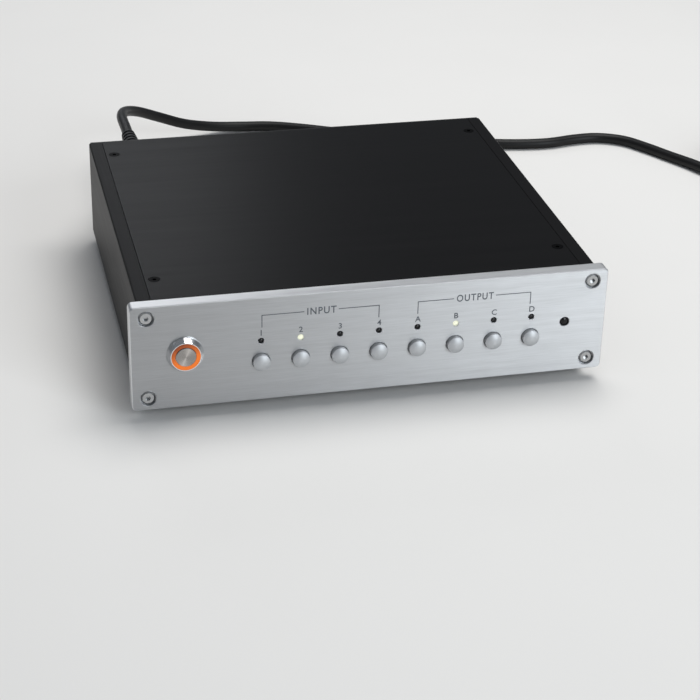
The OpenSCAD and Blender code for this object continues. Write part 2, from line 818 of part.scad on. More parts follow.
module standoffs() {
    color("#c8b273") {
        for (p = control_posts) translate([p.x, back_y, p.y]) standoff(control_gap, stud_len);
        at_power_posts() translate([0, 0, inner_z]) rotate([90, 0, 0])
            standoff(standoff_h, cover_t - 0.2);
    }
}

// The screws that hold both boards to their standoffs
module board_screws() {
    l = board_t + small_thread - 0.6;
    color("#8d8f92") {
        for (p = control_posts) translate([p.x, board_y + board_t, p.y]) mirror([0, 1, 0])
            socket_screw(small_screw_d, small_head_d, small_head_h, l);
        at_power_posts() translate([0, 0, inner_z + standoff_h + board_t]) rotate([-90, 0, 0])
            socket_screw(small_screw_d, small_head_d, small_head_h, l);
    }
}

// Phono jacks

// Gold shell: barrel, round shoulder, stepped flange and threaded neck around the insulator's bore
module jack_shell() {
    bore_r = jack_core_d / 2 + bore_gap;
    barrel_r = jack_barrel_d / 2;
    step_s = jack_washer_t + jack_flange_t / 2;
    flange_s = jack_washer_t + jack_flange_t;
    shoulder_l = 1.7;
    collar_s = flange_s + jack_collar_t + 0.3 - shoulder_l;
    color("#d8b25a") y_turn(0, 0, 0, concat(
        [[bore_r, -jack_neck_l], [jack_neck_d / 2, -jack_neck_l], [jack_neck_d / 2, jack_washer_t],
         [jack_flange_d / 2, jack_washer_t], [jack_flange_d / 2, step_s - 0.25],
         [jack_flange_d / 2 - 0.25, step_s], [jack_step_d / 2, step_s],
         [jack_step_d / 2, flange_s - 0.25], [jack_step_d / 2 - 0.25, flange_s],
         [jack_collar_d / 2, flange_s]],
        [for (a = [0 : 15 : 90]) [barrel_r + (jack_collar_d / 2 - barrel_r) * cos(a),
                                  collar_s + shoulder_l * sin(a)]],
        [[barrel_r, jack_reach - 0.3], [barrel_r - 0.3, jack_reach], [bore_r, jack_reach]]));
}

// Moulded insulator: shoulder behind the shell, pocket for the contact, funnel mouth
module jack_insulator() {
    pocket_r = contact_d / 2 + bore_gap;
    mouth_r = jack_pin_d / 2 + 0.1;
    tail_r = tail_d / 2 + bore_gap;
    y_turn(0, 0, 0, [
        [tail_r, -jack_board_s], [jack_neck_d / 2 - 0.4, -jack_board_s],
        [jack_neck_d / 2 - 0.4, -jack_neck_l], [jack_core_d / 2, -jack_neck_l],
        [jack_core_d / 2, core_front], [mouth_r + 0.6, core_front], [mouth_r, core_front - 0.8],
        [mouth_r, contact_front], [pocket_r, contact_front], [pocket_r, -contact_back],
        [tail_r, -contact_back]]);
}

// Sprung sleeve for the plug's pin, with a tail through the relay board
module jack_contact() {
    tail_s = jack_board_s + board_t + 1.2;
    y_turn(0, 0, 0, [
        [0, -tail_s], [tail_d / 2, -tail_s], [tail_d / 2, -contact_back],
        [contact_d / 2, -contact_back], [contact_d / 2, contact_front],
        [jack_pin_d / 2, contact_front], [jack_pin_d / 2, 1], [0, 1]]);
}

// Insulating washer with a rounded rim
module jack_washer() {
    y_turn(0, 0, 0, [
        [jack_neck_d / 2 + slide_gap, 0], [jack_washer_d / 2, 0],
        [jack_washer_d / 2, jack_washer_t - 0.4], [jack_washer_d / 2 - 0.4, jack_washer_t],
        [jack_neck_d / 2 + slide_gap, jack_washer_t]]);
}

module left_jack_shells() {
    at_jacks(0) jack_shell();
}

module right_jack_shells() {
    at_jacks(1) jack_shell();
}

module left_jack_washers() {
    color("#eeeeea") at_jacks(0) jack_washer();
}

module right_jack_washers() {
    color("#b3262a") at_jacks(1) jack_washer();
}

module left_jack_insulators() {
    color("#f2f2ee") at_jacks(0) jack_insulator();
}

module right_jack_insulators() {
    color("#b3262a") at_jacks(1) jack_insulator();
}

module jack_contacts() {
    color("#c9a24d") for (row = [0, 1]) at_jacks(row) jack_contact();
}

module jack_nuts() {
    color("#c9a24d") for (row = [0, 1]) at_jacks(row) difference() {
        y_hex(0, -rear_t - jack_nut_t, 0, jack_nut_t, jack_nut_af);
        y_rod(0, -rear_t - jack_nut_t - 1, 0, jack_nut_t + 2, jack_neck_d + 2 * bore_gap);
    }
}

// Boards inside

// Upright board on the jacks' tails
module relay_board() {
    w = jack_pitch * (COLUMNS - 1) + 18;
    h = jack_rows[0] - jack_rows[1] + 2 * relay_margin;
    color("#2f5d3a") difference() {
        y_block(jacks_x, relay_y, (jack_rows[0] + jack_rows[1]) / 2, w, board_t, h);
        for (row = [0, 1]) at_jacks(row)
            y_rod(0, -jack_board_s - board_t - 1, 0, board_t + 2, tail_d + 2 * slide_gap);
    }
}

// One sealed relay for each column
module relays() {
    color("#d9d9d2") for (i = [0 : COLUMNS - 1])
        y_block(jack_x(i), relay_y - relay_d, (jack_rows[0] + jack_rows[1]) / 2,
                relay_w, relay_d, relay_h);
}

// Flat cable along the bottom plate between the two boards' sockets
module ribbon_cable() {
    cable_w = 12.7;
    cable_t = 0.9;
    plug_w = 17;
    plug_h = 6;
    plug_l = 8.5;
    start_y = board_y + board_t;
    end_y = relay_y;
    start_z = control_z - control_h / 2 + post_inset;
    end_z = jack_rows[1] - relay_margin + 3.2;
    low_z = inner_z + 0.2;
    color("#9a9a9a") {
        y_block(jacks_x, start_y, start_z, plug_w, plug_l, plug_h);
        y_block(jacks_x, end_y - plug_l, end_z, plug_w, plug_l, plug_h);
        y_block(jacks_x, start_y + plug_l / 2, (low_z + start_z) / 2, cable_w, cable_t,
                start_z - low_z);
        y_block(jacks_x, end_y - plug_l / 2, (low_z + end_z) / 2, cable_w, cable_t, end_z - low_z);
        y_block(jacks_x, start_y + plug_l / 2, low_z + cable_t / 2, cable_w,
                end_y - start_y - plug_l + cable_t, cable_t);
    }
}

// Board on standoffs for the supply
module power_board() {
    z = inner_z + standoff_h;
    color("#2f5d3a") difference() {
        translate([power_board_x - power_board_w / 2, face_y + power_board_y, z])
            cube([power_board_w, power_board_l, board_t]);
        at_power_posts() translate([0, 0, z - 1])
            cylinder(h = board_t + 2, d = small_screw_d + 2 * hole_gap);
    }
}

power_top = inner_z + standoff_h + board_t;
transformer_size = [42, 36, 26];
transformer_at = [power_board_x - power_board_w / 2 + 9, face_y + power_board_y + 13, power_top];
terminal_size = [10, 8, 9];
terminal_at = [power_board_x - power_board_w / 2 + 10, face_y + power_board_y + 1, power_top];

// Potted transformer with a stepped lid, and the terminal block beside it
module transformer() {
    rim = 1.5;
    color("#33363d") {
        translate(transformer_at) cube(transformer_size - [0, 0, 3]);
        translate(transformer_at + [rim, rim, 1]) cube(transformer_size - [2 * rim, 2 * rim, 1]);
        translate(terminal_at) cube(terminal_size);
    }
}

// Smoothing capacitors with a crimped groove
module capacitors() {
    r = 8;
    h = 24;
    x = transformer_at.x + transformer_size.x + r + 2;
    middle = face_y + power_board_y + power_board_l / 2;
    color("#23344f") for (sy = [-1, 1])
        translate([x, middle + sy * (r + 3), power_top]) rotate_extrude() polygon([
            [0, 0], [r, 0], [r, 1.5], [r - 0.6, 2.2], [r, 3], [r, h - 0.6], [r - 0.6, h], [0, h]]);
}

// Points on a round bend at b between two straight runs
function bend(a, b, c) =
    let (p = b + wire_lead / 2 * unit(a - b), q = b + wire_lead / 2 * unit(c - b))
    [for (t = [0 : 0.25 : 1]) (1 - t) * (1 - t) * p + 2 * t * (1 - t) * b + t * t * q];

function wire(p) = [p[0], each bend(p[0], p[1], p[2]), each bend(p[1], p[2], p[3]), p[3]];

// Live runs through the switch, neutral straight to the supply
module mains_wires() {
    inlet_end = rear_y - inlet_depth - pin_tail;
    switch_end = face_y + switch_s + tab_l;
    switch_z = panel_z + power_z - tab_drop;
    lead = [0, wire_lead, 0];
    turn = [-wire_lead, 0, 0];
    apart = [0, wire_apart, 0];
    live = [inlet_x - pin_pitch / 2, inlet_end, socket_z - pin_drop];
    neutral = [inlet_x + pin_pitch / 2, inlet_end, socket_z - pin_drop];
    switch_in = [power_x - tab_pitch / 2, switch_end, switch_z];
    switch_out = [power_x + tab_pitch / 2, switch_end, switch_z];
    clamp = terminal_at + [0, terminal_size.y / 2, terminal_size.z / 2];
    color("#7a4a2a") tubes([
        wire([live, live - lead, switch_in + lead, switch_in]),
        wire([switch_out, switch_out + lead, clamp - apart + turn, clamp - apart]),
        wire([neutral, neutral - lead, clamp + apart + turn, clamp + apart])], wire_d / 2, 8);
}

// Mains inlet and fuse drawer

// Outline of the mains socket, with its two cut corners above
module socket_outline(gap) {
    w = socket_w / 2 - gap;
    h = socket_h / 2 - gap;
    polygon([[-w, -h], [w, -h], [w, h - socket_cut], [w - socket_cut, h],
             [socket_cut - w, h], [-w, h - socket_cut]]);
}

// Places the children at the three pins of the socket
module at_pins() {
    for (p = [[-pin_pitch / 2, -pin_drop], [pin_pitch / 2, -pin_drop], [0, pin_drop]])
        translate([inlet_x + p.x, rear_y, socket_z + p.y]) children();
}

// Moulded box with eared flange, socket and fuse chamber
module inlet_body() {
    half_w = inlet_w / 2 + 0.6;
    half_h = inlet_h / 2 + 0.6;
    ear_x = inlet_screw_pitch / 2 + ear_w;
    color("#1d1d1f") difference() {
        union() {
            y_prism(inlet_x, rear_y, inlet_zc, inlet_flange_t) polygon([
                [-half_w, half_h], [half_w, half_h], [ear_x, ear_h], [ear_x, -ear_h],
                [half_w, -half_h], [-half_w, -half_h], [-ear_x, -ear_h], [-ear_x, ear_h]]);
            y_block(inlet_x, rear_y - inlet_depth, inlet_zc, inlet_w, inlet_depth + 1, inlet_h);
        }
        y_prism(inlet_x, rear_y + socket_floor, socket_z, socket_depth + 1) socket_outline(0);
        at_pins() y_block(0, -inlet_depth - 1, 0, pin_w + 2 * bore_gap, inlet_depth,
                          pin_h + 2 * bore_gap);
        y_block(inlet_x, rear_y + inlet_flange_t - drawer_l - 0.6, drawer_z,
                drawer_w + 2 * drawer_gap, drawer_l + 2, drawer_h + 2 * drawer_gap);
        for (sx = [-1, 1])
            y_rod(inlet_x + sx * inlet_screw_pitch / 2, rear_y - 1, inlet_zc,
                  inlet_flange_t + 2, small_screw_d + 2 * hole_gap);
    }
}

// Three flat pins, each with a tab behind the box
module inlet_pins() {
    color("#c8c9ca") at_pins() {
        y_block(0, -inlet_depth, 0, pin_w, inlet_depth + pin_tip - 1, pin_h);
        y_block(0, pin_tip - 1.5, 0, pin_w - 0.6, 1.5, pin_h - 0.6);
        y_block(0, -inlet_depth - pin_tail, 0, 0.8, pin_tail + 1, pin_h);
    }
}

module inlet_screws() {
    color("#b9bbbd") for (sx = [-1, 1])
        translate([inlet_x + sx * inlet_screw_pitch / 2, rear_y + inlet_flange_t, inlet_zc])
            mirror([0, 1, 0]) socket_screw(small_screw_d, small_head_d, small_head_h,
                                           inlet_flange_t + rear_t + 2);
}

// Drawer with its fuse bay and a finger notch
module fuse_drawer() {
    front = rear_y + inlet_flange_t;
    bay_h = drawer_h - bay_floor;
    bay_z = drawer_z - drawer_h / 2 + bay_floor + bay_h / 2 + 0.5;
    color("#222225") difference() {
        union() {
            y_block(inlet_x, front - drawer_l, drawer_z, drawer_w, drawer_l + 0.5, drawer_h);
            y_block(inlet_x, front + rest_gap, drawer_z, drawer_w + 2 * drawer_lip,
                    drawer_lip_t - rest_gap, drawer_h + 2 * drawer_lip);
        }
        y_block(inlet_x, rear_y + fuse_s - bay_l / 2, bay_z, fuse_l + 0.6, bay_l, bay_h + 1);
        y_block(inlet_x, front + drawer_lip_t - 0.8, drawer_z - 1, 9, 2, 2.4);
    }
}

// Glass cartridge fuse between two metal caps, across the drawer
module fuse() {
    color("#cfd3d6") translate([inlet_x - fuse_l / 2, rear_y + fuse_s, fuse_z]) rotate([0, 90, 0])
        rotate_extrude() polygon([
            [0, 0], [fuse_d / 2, 0], [fuse_d / 2, fuse_cap_l], [fuse_d / 2 - 0.3, fuse_cap_l],
            [fuse_d / 2 - 0.3, fuse_l - fuse_cap_l], [fuse_d / 2, fuse_l - fuse_cap_l],
            [fuse_d / 2, fuse_l], [0, fuse_l]]);
}

// Mains lead

// Strain relief turned about +Y: a taper with even grooves, narrow at its end
module strain_relief(l, d1, d2) {
    grooves = 5;
    depth = 0.9;
    step = l / (2 * grooves + 1);
    function radius(s) = (d1 + (d2 - d1) * s / l) / 2;
    difference() {
        y_turn(0, 0, 0, [[0, -1], [d1 / 2, -1], [d1 / 2, 0], [d2 / 2, l], [0, l]]);
        for (i = [0 : grooves - 1]) {
            s = step * (2 * i + 1);
            y_turn(0, 0, 0, [[radius(s) - depth, s], [d1, s], [d1, s + step],
                             [radius(s + step) - depth, s + step]]);
        }
    }
}

// Moulded connector: nose in the inlet, waisted grip, strain relief
module lead_connector() {
    y = rear_y + grip_s;
    reach = norm([grip_w, grip_h]) / 2;
    relief_d = cord_d + 5;
    color("#161618") difference() {
        union() {
            y_prism(inlet_x, y - nose_l, socket_z, nose_l + 1) socket_outline(nose_gap);
            intersection() {
                y_prism(inlet_x, y, socket_z, grip_l) round_rect(grip_w, grip_h, grip_r);
                y_turn(inlet_x, y, socket_z, [
                    [0, 0], [reach - 1, 0], [reach, 1], [reach, grip_l * 0.45],
                    [reach * 0.86, grip_l * 0.62], [reach * 0.62, grip_l * 0.88],
                    [relief_d / 2, grip_l], [0, grip_l]]);
            }
            translate([inlet_x, rear_y + relief_s, socket_z])
                strain_relief(relief_l, relief_d, cord_d + 1.6);
        }
        at_pins() y_block(0, grip_s - nose_l - 1, 0, pin_w + 0.6, nose_l - grip_s + pin_tip + 2,
                          pin_h + 0.6);
    }
}

// Point at t, from 0 to 1, on a smooth curve from p[i] to p[i + 1]
function on_curve(p, i, t) =
    let (a = p[max(i - 1, 0)], b = p[i], c = p[i + 1], d = p[min(i + 2, len(p) - 1)])
    ((2 * b) + (c - a) * t + (2 * a - 5 * b + 4 * c - d) * t * t
     + (3 * b - a - 3 * c + d) * t * t * t) / 2;

function smooth_path(p, n) = [
    for (i = [0 : len(p) - 2], k = [0 : n - 1]) on_curve(p, i, k / n),
    p[len(p) - 1]];

function unit(v) = norm(v) > 0 ? v / norm(v) : v;
function heading(q, i) = unit(
    unit(q[min(i + 1, len(q) - 1)] - q[i]) + unit(q[i] - q[max(i - 1, 0)]));

// Ring of points about c, square to the direction t
function ring_at(c, t, r, sides) =
    let (s = cross(t, [0, 0, 1]), u = s / norm(s), w = cross(u, t))
    [for (k = [0 : sides - 1])
        c + r * (cos(360 * k / sides) * u + sin(360 * k / sides) * w)];

// Faces of one closed tube whose rings are numbered from a first point
function tube_faces(first, rings, sides) =
    let (last = first + (rings - 1) * sides)
    concat(
        [for (i = [0 : rings - 2], k = [0 : sides - 1])
            let (a = first + i * sides + k, b = first + i * sides + (k + 1) % sides)
            each [[a, b, b + sides], [a, b + sides, a + sides]]],
        [for (k = [1 : sides - 2])
            each [[first, first + k + 1, first + k], [last, last + k, last + k + 1]]]);

// Closed tubes along lists of points, all lists of one length
module tubes(paths, r, sides) {
    rings = len(paths[0]);
    polyhedron(
        [for (q = paths, i = [0 : rings - 1]) each ring_at(q[i], heading(q, i), r, sides)],
        [for (n = [0 : len(paths) - 1]) each tube_faces(n * rings * sides, rings, sides)]);
}

// Place on the coil after t turns: in along the floor, up one layer, and out again
function ease(t) = let (x = min(max(t, 0), 1)) x * x * (3 - 2 * x);
function coil_at(t) =
    let (r = coil_r - coil_step * (coil_turns - abs(coil_turns - t)),
         a = coil_start + 360 * t)
    [coil_c.x + r * cos(a), coil_c.y + r * sin(a),
     coil_z + coil_step * ease(2 * (t - coil_turns) + 0.5)];

function along(a) = [-sin(a), cos(a), 0];
coil_in = coil_at(0);
coil_out = coil_at(2 * coil_turns);
cord_join = coil_in - cord_d * along(coil_start);
plug_at = [coil_out.x, coil_out.y, plug_z] + tail_l * along(coil_end);
coil_turn_points = [for (i = [0 : 2 * coil_turns * coil_steps]) coil_at(i / coil_steps)];
tail_rise = [0, 0, plug_z - coil_out.z];
tail_points = [for (k = [1 : 5])
    coil_out + along(coil_end) * (tail_l - cord_d) * k / 5 + tail_rise * ease(k / 5)];
coil_path = concat([cord_join, coil_in - cord_d / 2 * along(coil_start)], coil_turn_points,
                   tail_points, [plug_at]);

cord_path = smooth_path(concat(
    [for (k = [0 : 2]) cord_exit + [0, k * cord_d, 0]], cord_route,
    [for (k = [2 : -1 : 0]) cord_join - k * cord_d * along(coil_start)]), 2);

// Least distance between turns, from each point to the stretches half a turn or more away
function to_stretch(p, a, b) =
    let (v = b - a, t = min(max((p - a) * v / (v * v), 0), 1)) norm(p - a - t * v);
coil_self_gap = min([for (i = [0 : len(coil_turn_points) - 1],
                          j = [i + coil_steps / 2 : 1 : len(coil_turn_points) - 2])
    to_stretch(coil_turn_points[i], coil_turn_points[j], coil_turn_points[j + 1])]) - cord_d;

function path_length(q) = let (d = [for (i = [1 : len(q) - 1]) norm(q[i] - q[i - 1])])
    d * [for (x = d) 1];
echo(coil_self_gap = coil_self_gap);
echo(cord_length = path_length(cord_path) + path_length(coil_path));

module mains_cord() {
    color("#18181a") tubes([cord_path], cord_d / 2, 10);
}

module cord_coil() {
    color("#18181a") tubes([coil_path], cord_d / 2, 6);
}

// Flat tie around the turns, opposite the place where they change layer
module cord_tie() {
    turns = floor(coil_turns);
    r_in = coil_r - coil_step * (coil_turns - 0.5) - cord_d / 2 - tie_gap;
    w = (turns - 1) * coil_step + cord_d + 2 * tie_gap;
    h = coil_step + cord_d + 2 * tie_gap;
    color("#0f0f10") translate([coil_c.x, coil_c.y, coil_z + coil_step / 2])
        rotate([0, 0, coil_start + 360 * (coil_turns - 0.5)])
            y_prism(r_in + w / 2, -tie_w / 2, 0, tie_w) difference() {
                round_rect(w + 2 * tie_t, h + 2 * tie_t, 2);
                square([w, h], center = true);
            }
}

plug_relief_l = 24;
plug_body_l = 36;
pin_reach = 19;
pin_root = 12;
pin_root_d = plug_pin_d + 0.8;

// Places the children at the end of the cord, with +Y along it
module at_plug() {
    translate(plug_at) rotate([0, 0, coil_end]) children();
}

// Round mains plug: relief, shoulder, body with two side grooves, earth hole
module mains_plug() {
    s = plug_relief_l;
    r = plug_d / 2;
    face = s + plug_body_l;
    color("#161618") at_plug() difference() {
        union() {
            translate([0, s, 0]) mirror([0, 1, 0]) strain_relief(s, cord_d + 6, cord_d + 1.6);
            y_turn(0, 0, 0, [
                [0, s], [cord_d / 2 + 3, s], [r * 0.62, s + 3], [r * 0.86, s + 10], [r, s + 17],
                [r, face - 1], [r - 1, face], [0, face]]);
        }
        for (sz = [-1, 1]) y_block(0, face - 15, sz * (r - 0.4), 6.4, 16, 5);
        for (sx = [-1, 1])
            y_rod(sx * plug_pin_pitch / 2, face - pin_root, 0, pin_root + 1,
                  pin_root_d + 2 * bore_gap);
        y_rod(0, face - 16, r * 0.55, 17, plug_pin_d);
    }
}

module plug_pins() {
    face = plug_relief_l + plug_body_l;
    color("#c8c9ca") at_plug() for (sx = [-1, 1])
        y_turn(sx * plug_pin_pitch / 2, face - pin_root, 0, [
            [0, 0], [pin_root_d / 2, 0], [pin_root_d / 2, pin_root], [plug_pin_d / 2, pin_root],
            [plug_pin_d / 2, pin_root + pin_reach - 1.6],
            [plug_pin_d / 2 - 1, pin_root + pin_reach - 0.4],
            [plug_pin_d / 2 - 1.6, pin_root + pin_reach], [0, pin_root + pin_reach]]);
}

front_panel();
front_panel_screws();
left_side_panel();
right_side_panel();
top_cover();
top_cover_screws();
bottom_plate();
bottom_plate_screws();
rear_panel();
rear_panel_screws();
feet();
foot_screws();
power_switch_body();
power_switch_ring();
power_switch_cap();
power_switch_nut();
for (i = [0 : len(BUTTONS) - 1])
    selector_button(i);
control_board();
tact_switches();
lit_lamps();
unlit_lamps();
ir_window();
ir_receiver();
standoffs();
board_screws();
left_jack_shells();
right_jack_shells();
left_jack_washers();
right_jack_washers();
left_jack_insulators();
right_jack_insulators();
jack_contacts();
jack_nuts();
relay_board();
relays();
ribbon_cable();
power_board();
transformer();
capacitors();
mains_wires();
inlet_body();
inlet_pins();
inlet_screws();
fuse_drawer();
fuse();
lead_connector();
mains_cord();
cord_coil();
cord_tie();
mains_plug();
plug_pins();
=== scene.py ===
"""Looks of the audio source selector: finishes, printed legends, mains cord and studio.

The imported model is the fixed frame, in metres: +X right, +Y to the rear, +Z up, feet on z = 0.
"""

import json
import logging
import math
from dataclasses import dataclass, field
from enum import Enum
from typing import Any, Sequence

import bmesh
import bpy
from mathutils import Matrix, Quaternion, Vector

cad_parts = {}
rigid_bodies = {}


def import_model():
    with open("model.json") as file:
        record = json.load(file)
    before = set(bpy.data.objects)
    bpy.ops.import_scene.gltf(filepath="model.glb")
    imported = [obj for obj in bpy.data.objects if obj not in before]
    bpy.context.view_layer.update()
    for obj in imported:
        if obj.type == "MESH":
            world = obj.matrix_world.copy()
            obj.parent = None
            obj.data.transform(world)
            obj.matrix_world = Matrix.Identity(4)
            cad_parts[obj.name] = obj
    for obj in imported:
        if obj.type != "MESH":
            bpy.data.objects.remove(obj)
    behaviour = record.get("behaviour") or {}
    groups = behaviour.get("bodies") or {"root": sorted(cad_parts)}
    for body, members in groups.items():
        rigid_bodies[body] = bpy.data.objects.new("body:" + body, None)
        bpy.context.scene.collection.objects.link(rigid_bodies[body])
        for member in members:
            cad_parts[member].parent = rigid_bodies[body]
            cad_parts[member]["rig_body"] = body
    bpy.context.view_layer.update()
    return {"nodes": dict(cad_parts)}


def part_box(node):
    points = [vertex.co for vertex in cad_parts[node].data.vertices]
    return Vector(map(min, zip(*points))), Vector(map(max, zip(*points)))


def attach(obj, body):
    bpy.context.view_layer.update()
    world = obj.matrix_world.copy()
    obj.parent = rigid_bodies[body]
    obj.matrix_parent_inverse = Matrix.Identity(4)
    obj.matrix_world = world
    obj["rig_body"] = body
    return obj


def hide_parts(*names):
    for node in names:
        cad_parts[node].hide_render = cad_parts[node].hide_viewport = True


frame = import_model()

LOG = logging.getLogger("selector")
MM = 0.001
Colour = tuple[float, float, float]
Point = tuple[float, float, float]
EVEN: Point = (1.0, 1.0, 1.0)
STEEL: Colour = (0.62, 0.63, 0.64)
NICKEL: Colour = (0.72, 0.70, 0.66)
BUTTONS = {"input": "1234", "output": "abcd"}


# Node trees

class Value:
    """One number socket of a material, with arithmetic that adds Math nodes."""

    def __init__(self, sheet: "Sheet", socket: bpy.types.NodeSocket) -> None:
        """Keep the socket and the sheet it belongs to."""
        self.sheet = sheet
        self.socket = socket

    def _math(self, operation: str, *terms: "Value | float") -> "Value":
        """Add one Math node and give its result."""
        return self.sheet.node("ShaderNodeMath", {"operation": operation}, dict(enumerate(terms)))

    def __add__(self, other: "Value | float") -> "Value":
        """Sum of two values."""
        return self._math("ADD", self, other)

    def __sub__(self, other: "Value | float") -> "Value":
        """Difference of two values."""
        return self._math("SUBTRACT", self, other)

    def __rsub__(self, other: float) -> "Value":
        """A number less a value."""
        return self._math("SUBTRACT", other, self)

    def __mul__(self, other: "Value | float") -> "Value":
        """Product of two values."""
        return self._math("MULTIPLY", self, other)

    def __truediv__(self, other: "Value | float") -> "Value":
        """Quotient of two values."""
        return self._math("DIVIDE", self, other)

    def root(self) -> "Value":
        """Square root."""
        return self._math("SQRT", self)

    def clamped(self) -> "Value":
        """The value held between 0 and 1."""
        return self._math("MINIMUM", self._math("MAXIMUM", self, 0.0), 1.0)


def add_node(tree: bpy.types.NodeTree, kind: str, settings: dict[str, Any],
             sockets: dict[Any, Any]) -> bpy.types.Node:
    """Add a node to a tree.

    Args:
        tree: the tree that takes the node.
        kind: the node's type.
        settings: attributes, which are set first.
        sockets: input name or index to a number, colour, socket or Value.

    Returns:
        The new node.
    """
    made = tree.nodes.new(kind)
    for key, value in settings.items():
        setattr(made, key, value)
    for key, value in sockets.items():
        source = value.socket if isinstance(value, Value) else value
        if isinstance(source, bpy.types.NodeSocket):
            tree.links.new(source, made.inputs[key])
        else:
            made.inputs[key].default_value = source
    return made


class Sheet:
    """The node tree of one material."""

    # Sockets of a Mix node that mixes colours.
    MIX_FACTOR, MIX_LOW, MIX_HIGH, MIX_RESULT = 0, 6, 7, 2

    def __init__(self, name: str) -> None:
        """Start an empty material.

        Args:
            name: the material's name.
        """
        self.material = bpy.data.materials.new(name)
        self.material.use_nodes = True
        self.tree = self.material.node_tree
        self.tree.nodes.clear()

    def node(self, kind: str, settings: dict[str, Any] | None = None,
             sockets: dict[Any, Any] | None = None, out: int | str = 0) -> Value:
        """Add a node, as add_node does, and give one of its outputs."""
        made = add_node(self.tree, kind, settings or {}, sockets or {})
        return Value(self, made.outputs[out])

    def spot(self, stretch: Point = EVEN, shift: Point = (0, 0, 0)) -> Value:
        """Object coordinates, scaled and then shifted.

        Args:
            stretch: scale along each axis.
            shift: metres along each axis.

        Returns:
            The vector.
        """
        here = self.node("ShaderNodeTexCoord", out="Object")
        return self.node("ShaderNodeMapping", {},
                         {"Vector": here, "Scale": stretch, "Location": shift})

    def axes(self, spot: Value) -> tuple[Value, Value, Value]:
        """The three parts of a vector."""
        apart = add_node(self.tree, "ShaderNodeSeparateXYZ", {}, {"Vector": spot})
        return tuple(Value(self, part) for part in apart.outputs)

    def noise(self, scale: float, detail: float = 2.0, stretch: Point = EVEN) -> Value:
        """Noise of about 0 to 1, in cells per metre of the stretched object."""
        return self.node("ShaderNodeTexNoise", {}, {
            "Vector": self.spot(stretch), "Scale": scale, "Detail": detail})

    def blend(self, low: Colour, high: Colour, factor: Value) -> Value:
        """Colour between two colours.

        Args:
            low: colour where the factor is 0.
            high: colour where it is 1.
            factor: the share of the second colour.

        Returns:
            The colour.
        """
        return self.node("ShaderNodeMix", {"data_type": "RGBA"}, {
            self.MIX_FACTOR: factor, self.MIX_LOW: (*low, 1.0), self.MIX_HIGH: (*high, 1.0)},
            out=self.MIX_RESULT)

    def tone(self, tint: Colour, low: float, high: float, mark: Value) -> Value:
        """Colour from a low to a high share of a tint, as a mark goes from 0 to 1."""
        return self.blend(shaded(tint, low), shaded(tint, high), mark)

    def sway(self, mark: Value, middle: float, swing: float) -> Value:
        """A number that swings about its middle, as a mark goes from 0 to 1."""
        return mark * swing + (middle - swing / 2)

    def bump(self, height: Value, depth: float) -> Value:
        """Normal of a surface with that height, depth metres from 0 to 1."""
        return self.node("ShaderNodeBump", {}, {"Height": height, "Distance": depth})

    def shader(self, sockets: dict[str, Any]) -> Value:
        """Add a Principled shader with those sockets."""
        return self.node("ShaderNodeBsdfPrincipled", {}, sockets)

    def mix(self, factor: Value, first: Value, second: Value) -> Value:
        """Mix of two shaders, all of the second where the factor is 1."""
        return self.node("ShaderNodeMixShader", {}, dict(enumerate((factor, first, second))))

    def end(self, shader: Value) -> bpy.types.Material:
        """End the tree in that shader."""
        add_node(self.tree, "ShaderNodeOutputMaterial", {}, {"Surface": shader})
        return self.material

    def surface(self, sockets: dict[str, Any]) -> bpy.types.Material:
        """End the tree in a Principled shader with those sockets."""
        return self.end(self.shader(sockets))


def stand(name: str, data: bpy.types.ID) -> bpy.types.Object:
    """Put a new object in the scene.

    Args:
        name: the object's name.
        data: its mesh, curve, light or camera.

    Returns:
        The object, at the origin.
    """
    made = bpy.data.objects.new(name, data)
    bpy.context.scene.collection.objects.link(made)
    return made


def flatten(host: bpy.types.Object) -> bpy.types.Mesh:
    """Evaluate an object into a plain mesh and remove the object.

    Args:
        host: the object, with its modifiers or as a text.

    Returns:
        The mesh.
    """
    graph = bpy.context.evaluated_depsgraph_get()
    mesh = bpy.data.meshes.new_from_object(host.evaluated_get(graph))
    bpy.data.objects.remove(host)
    return mesh


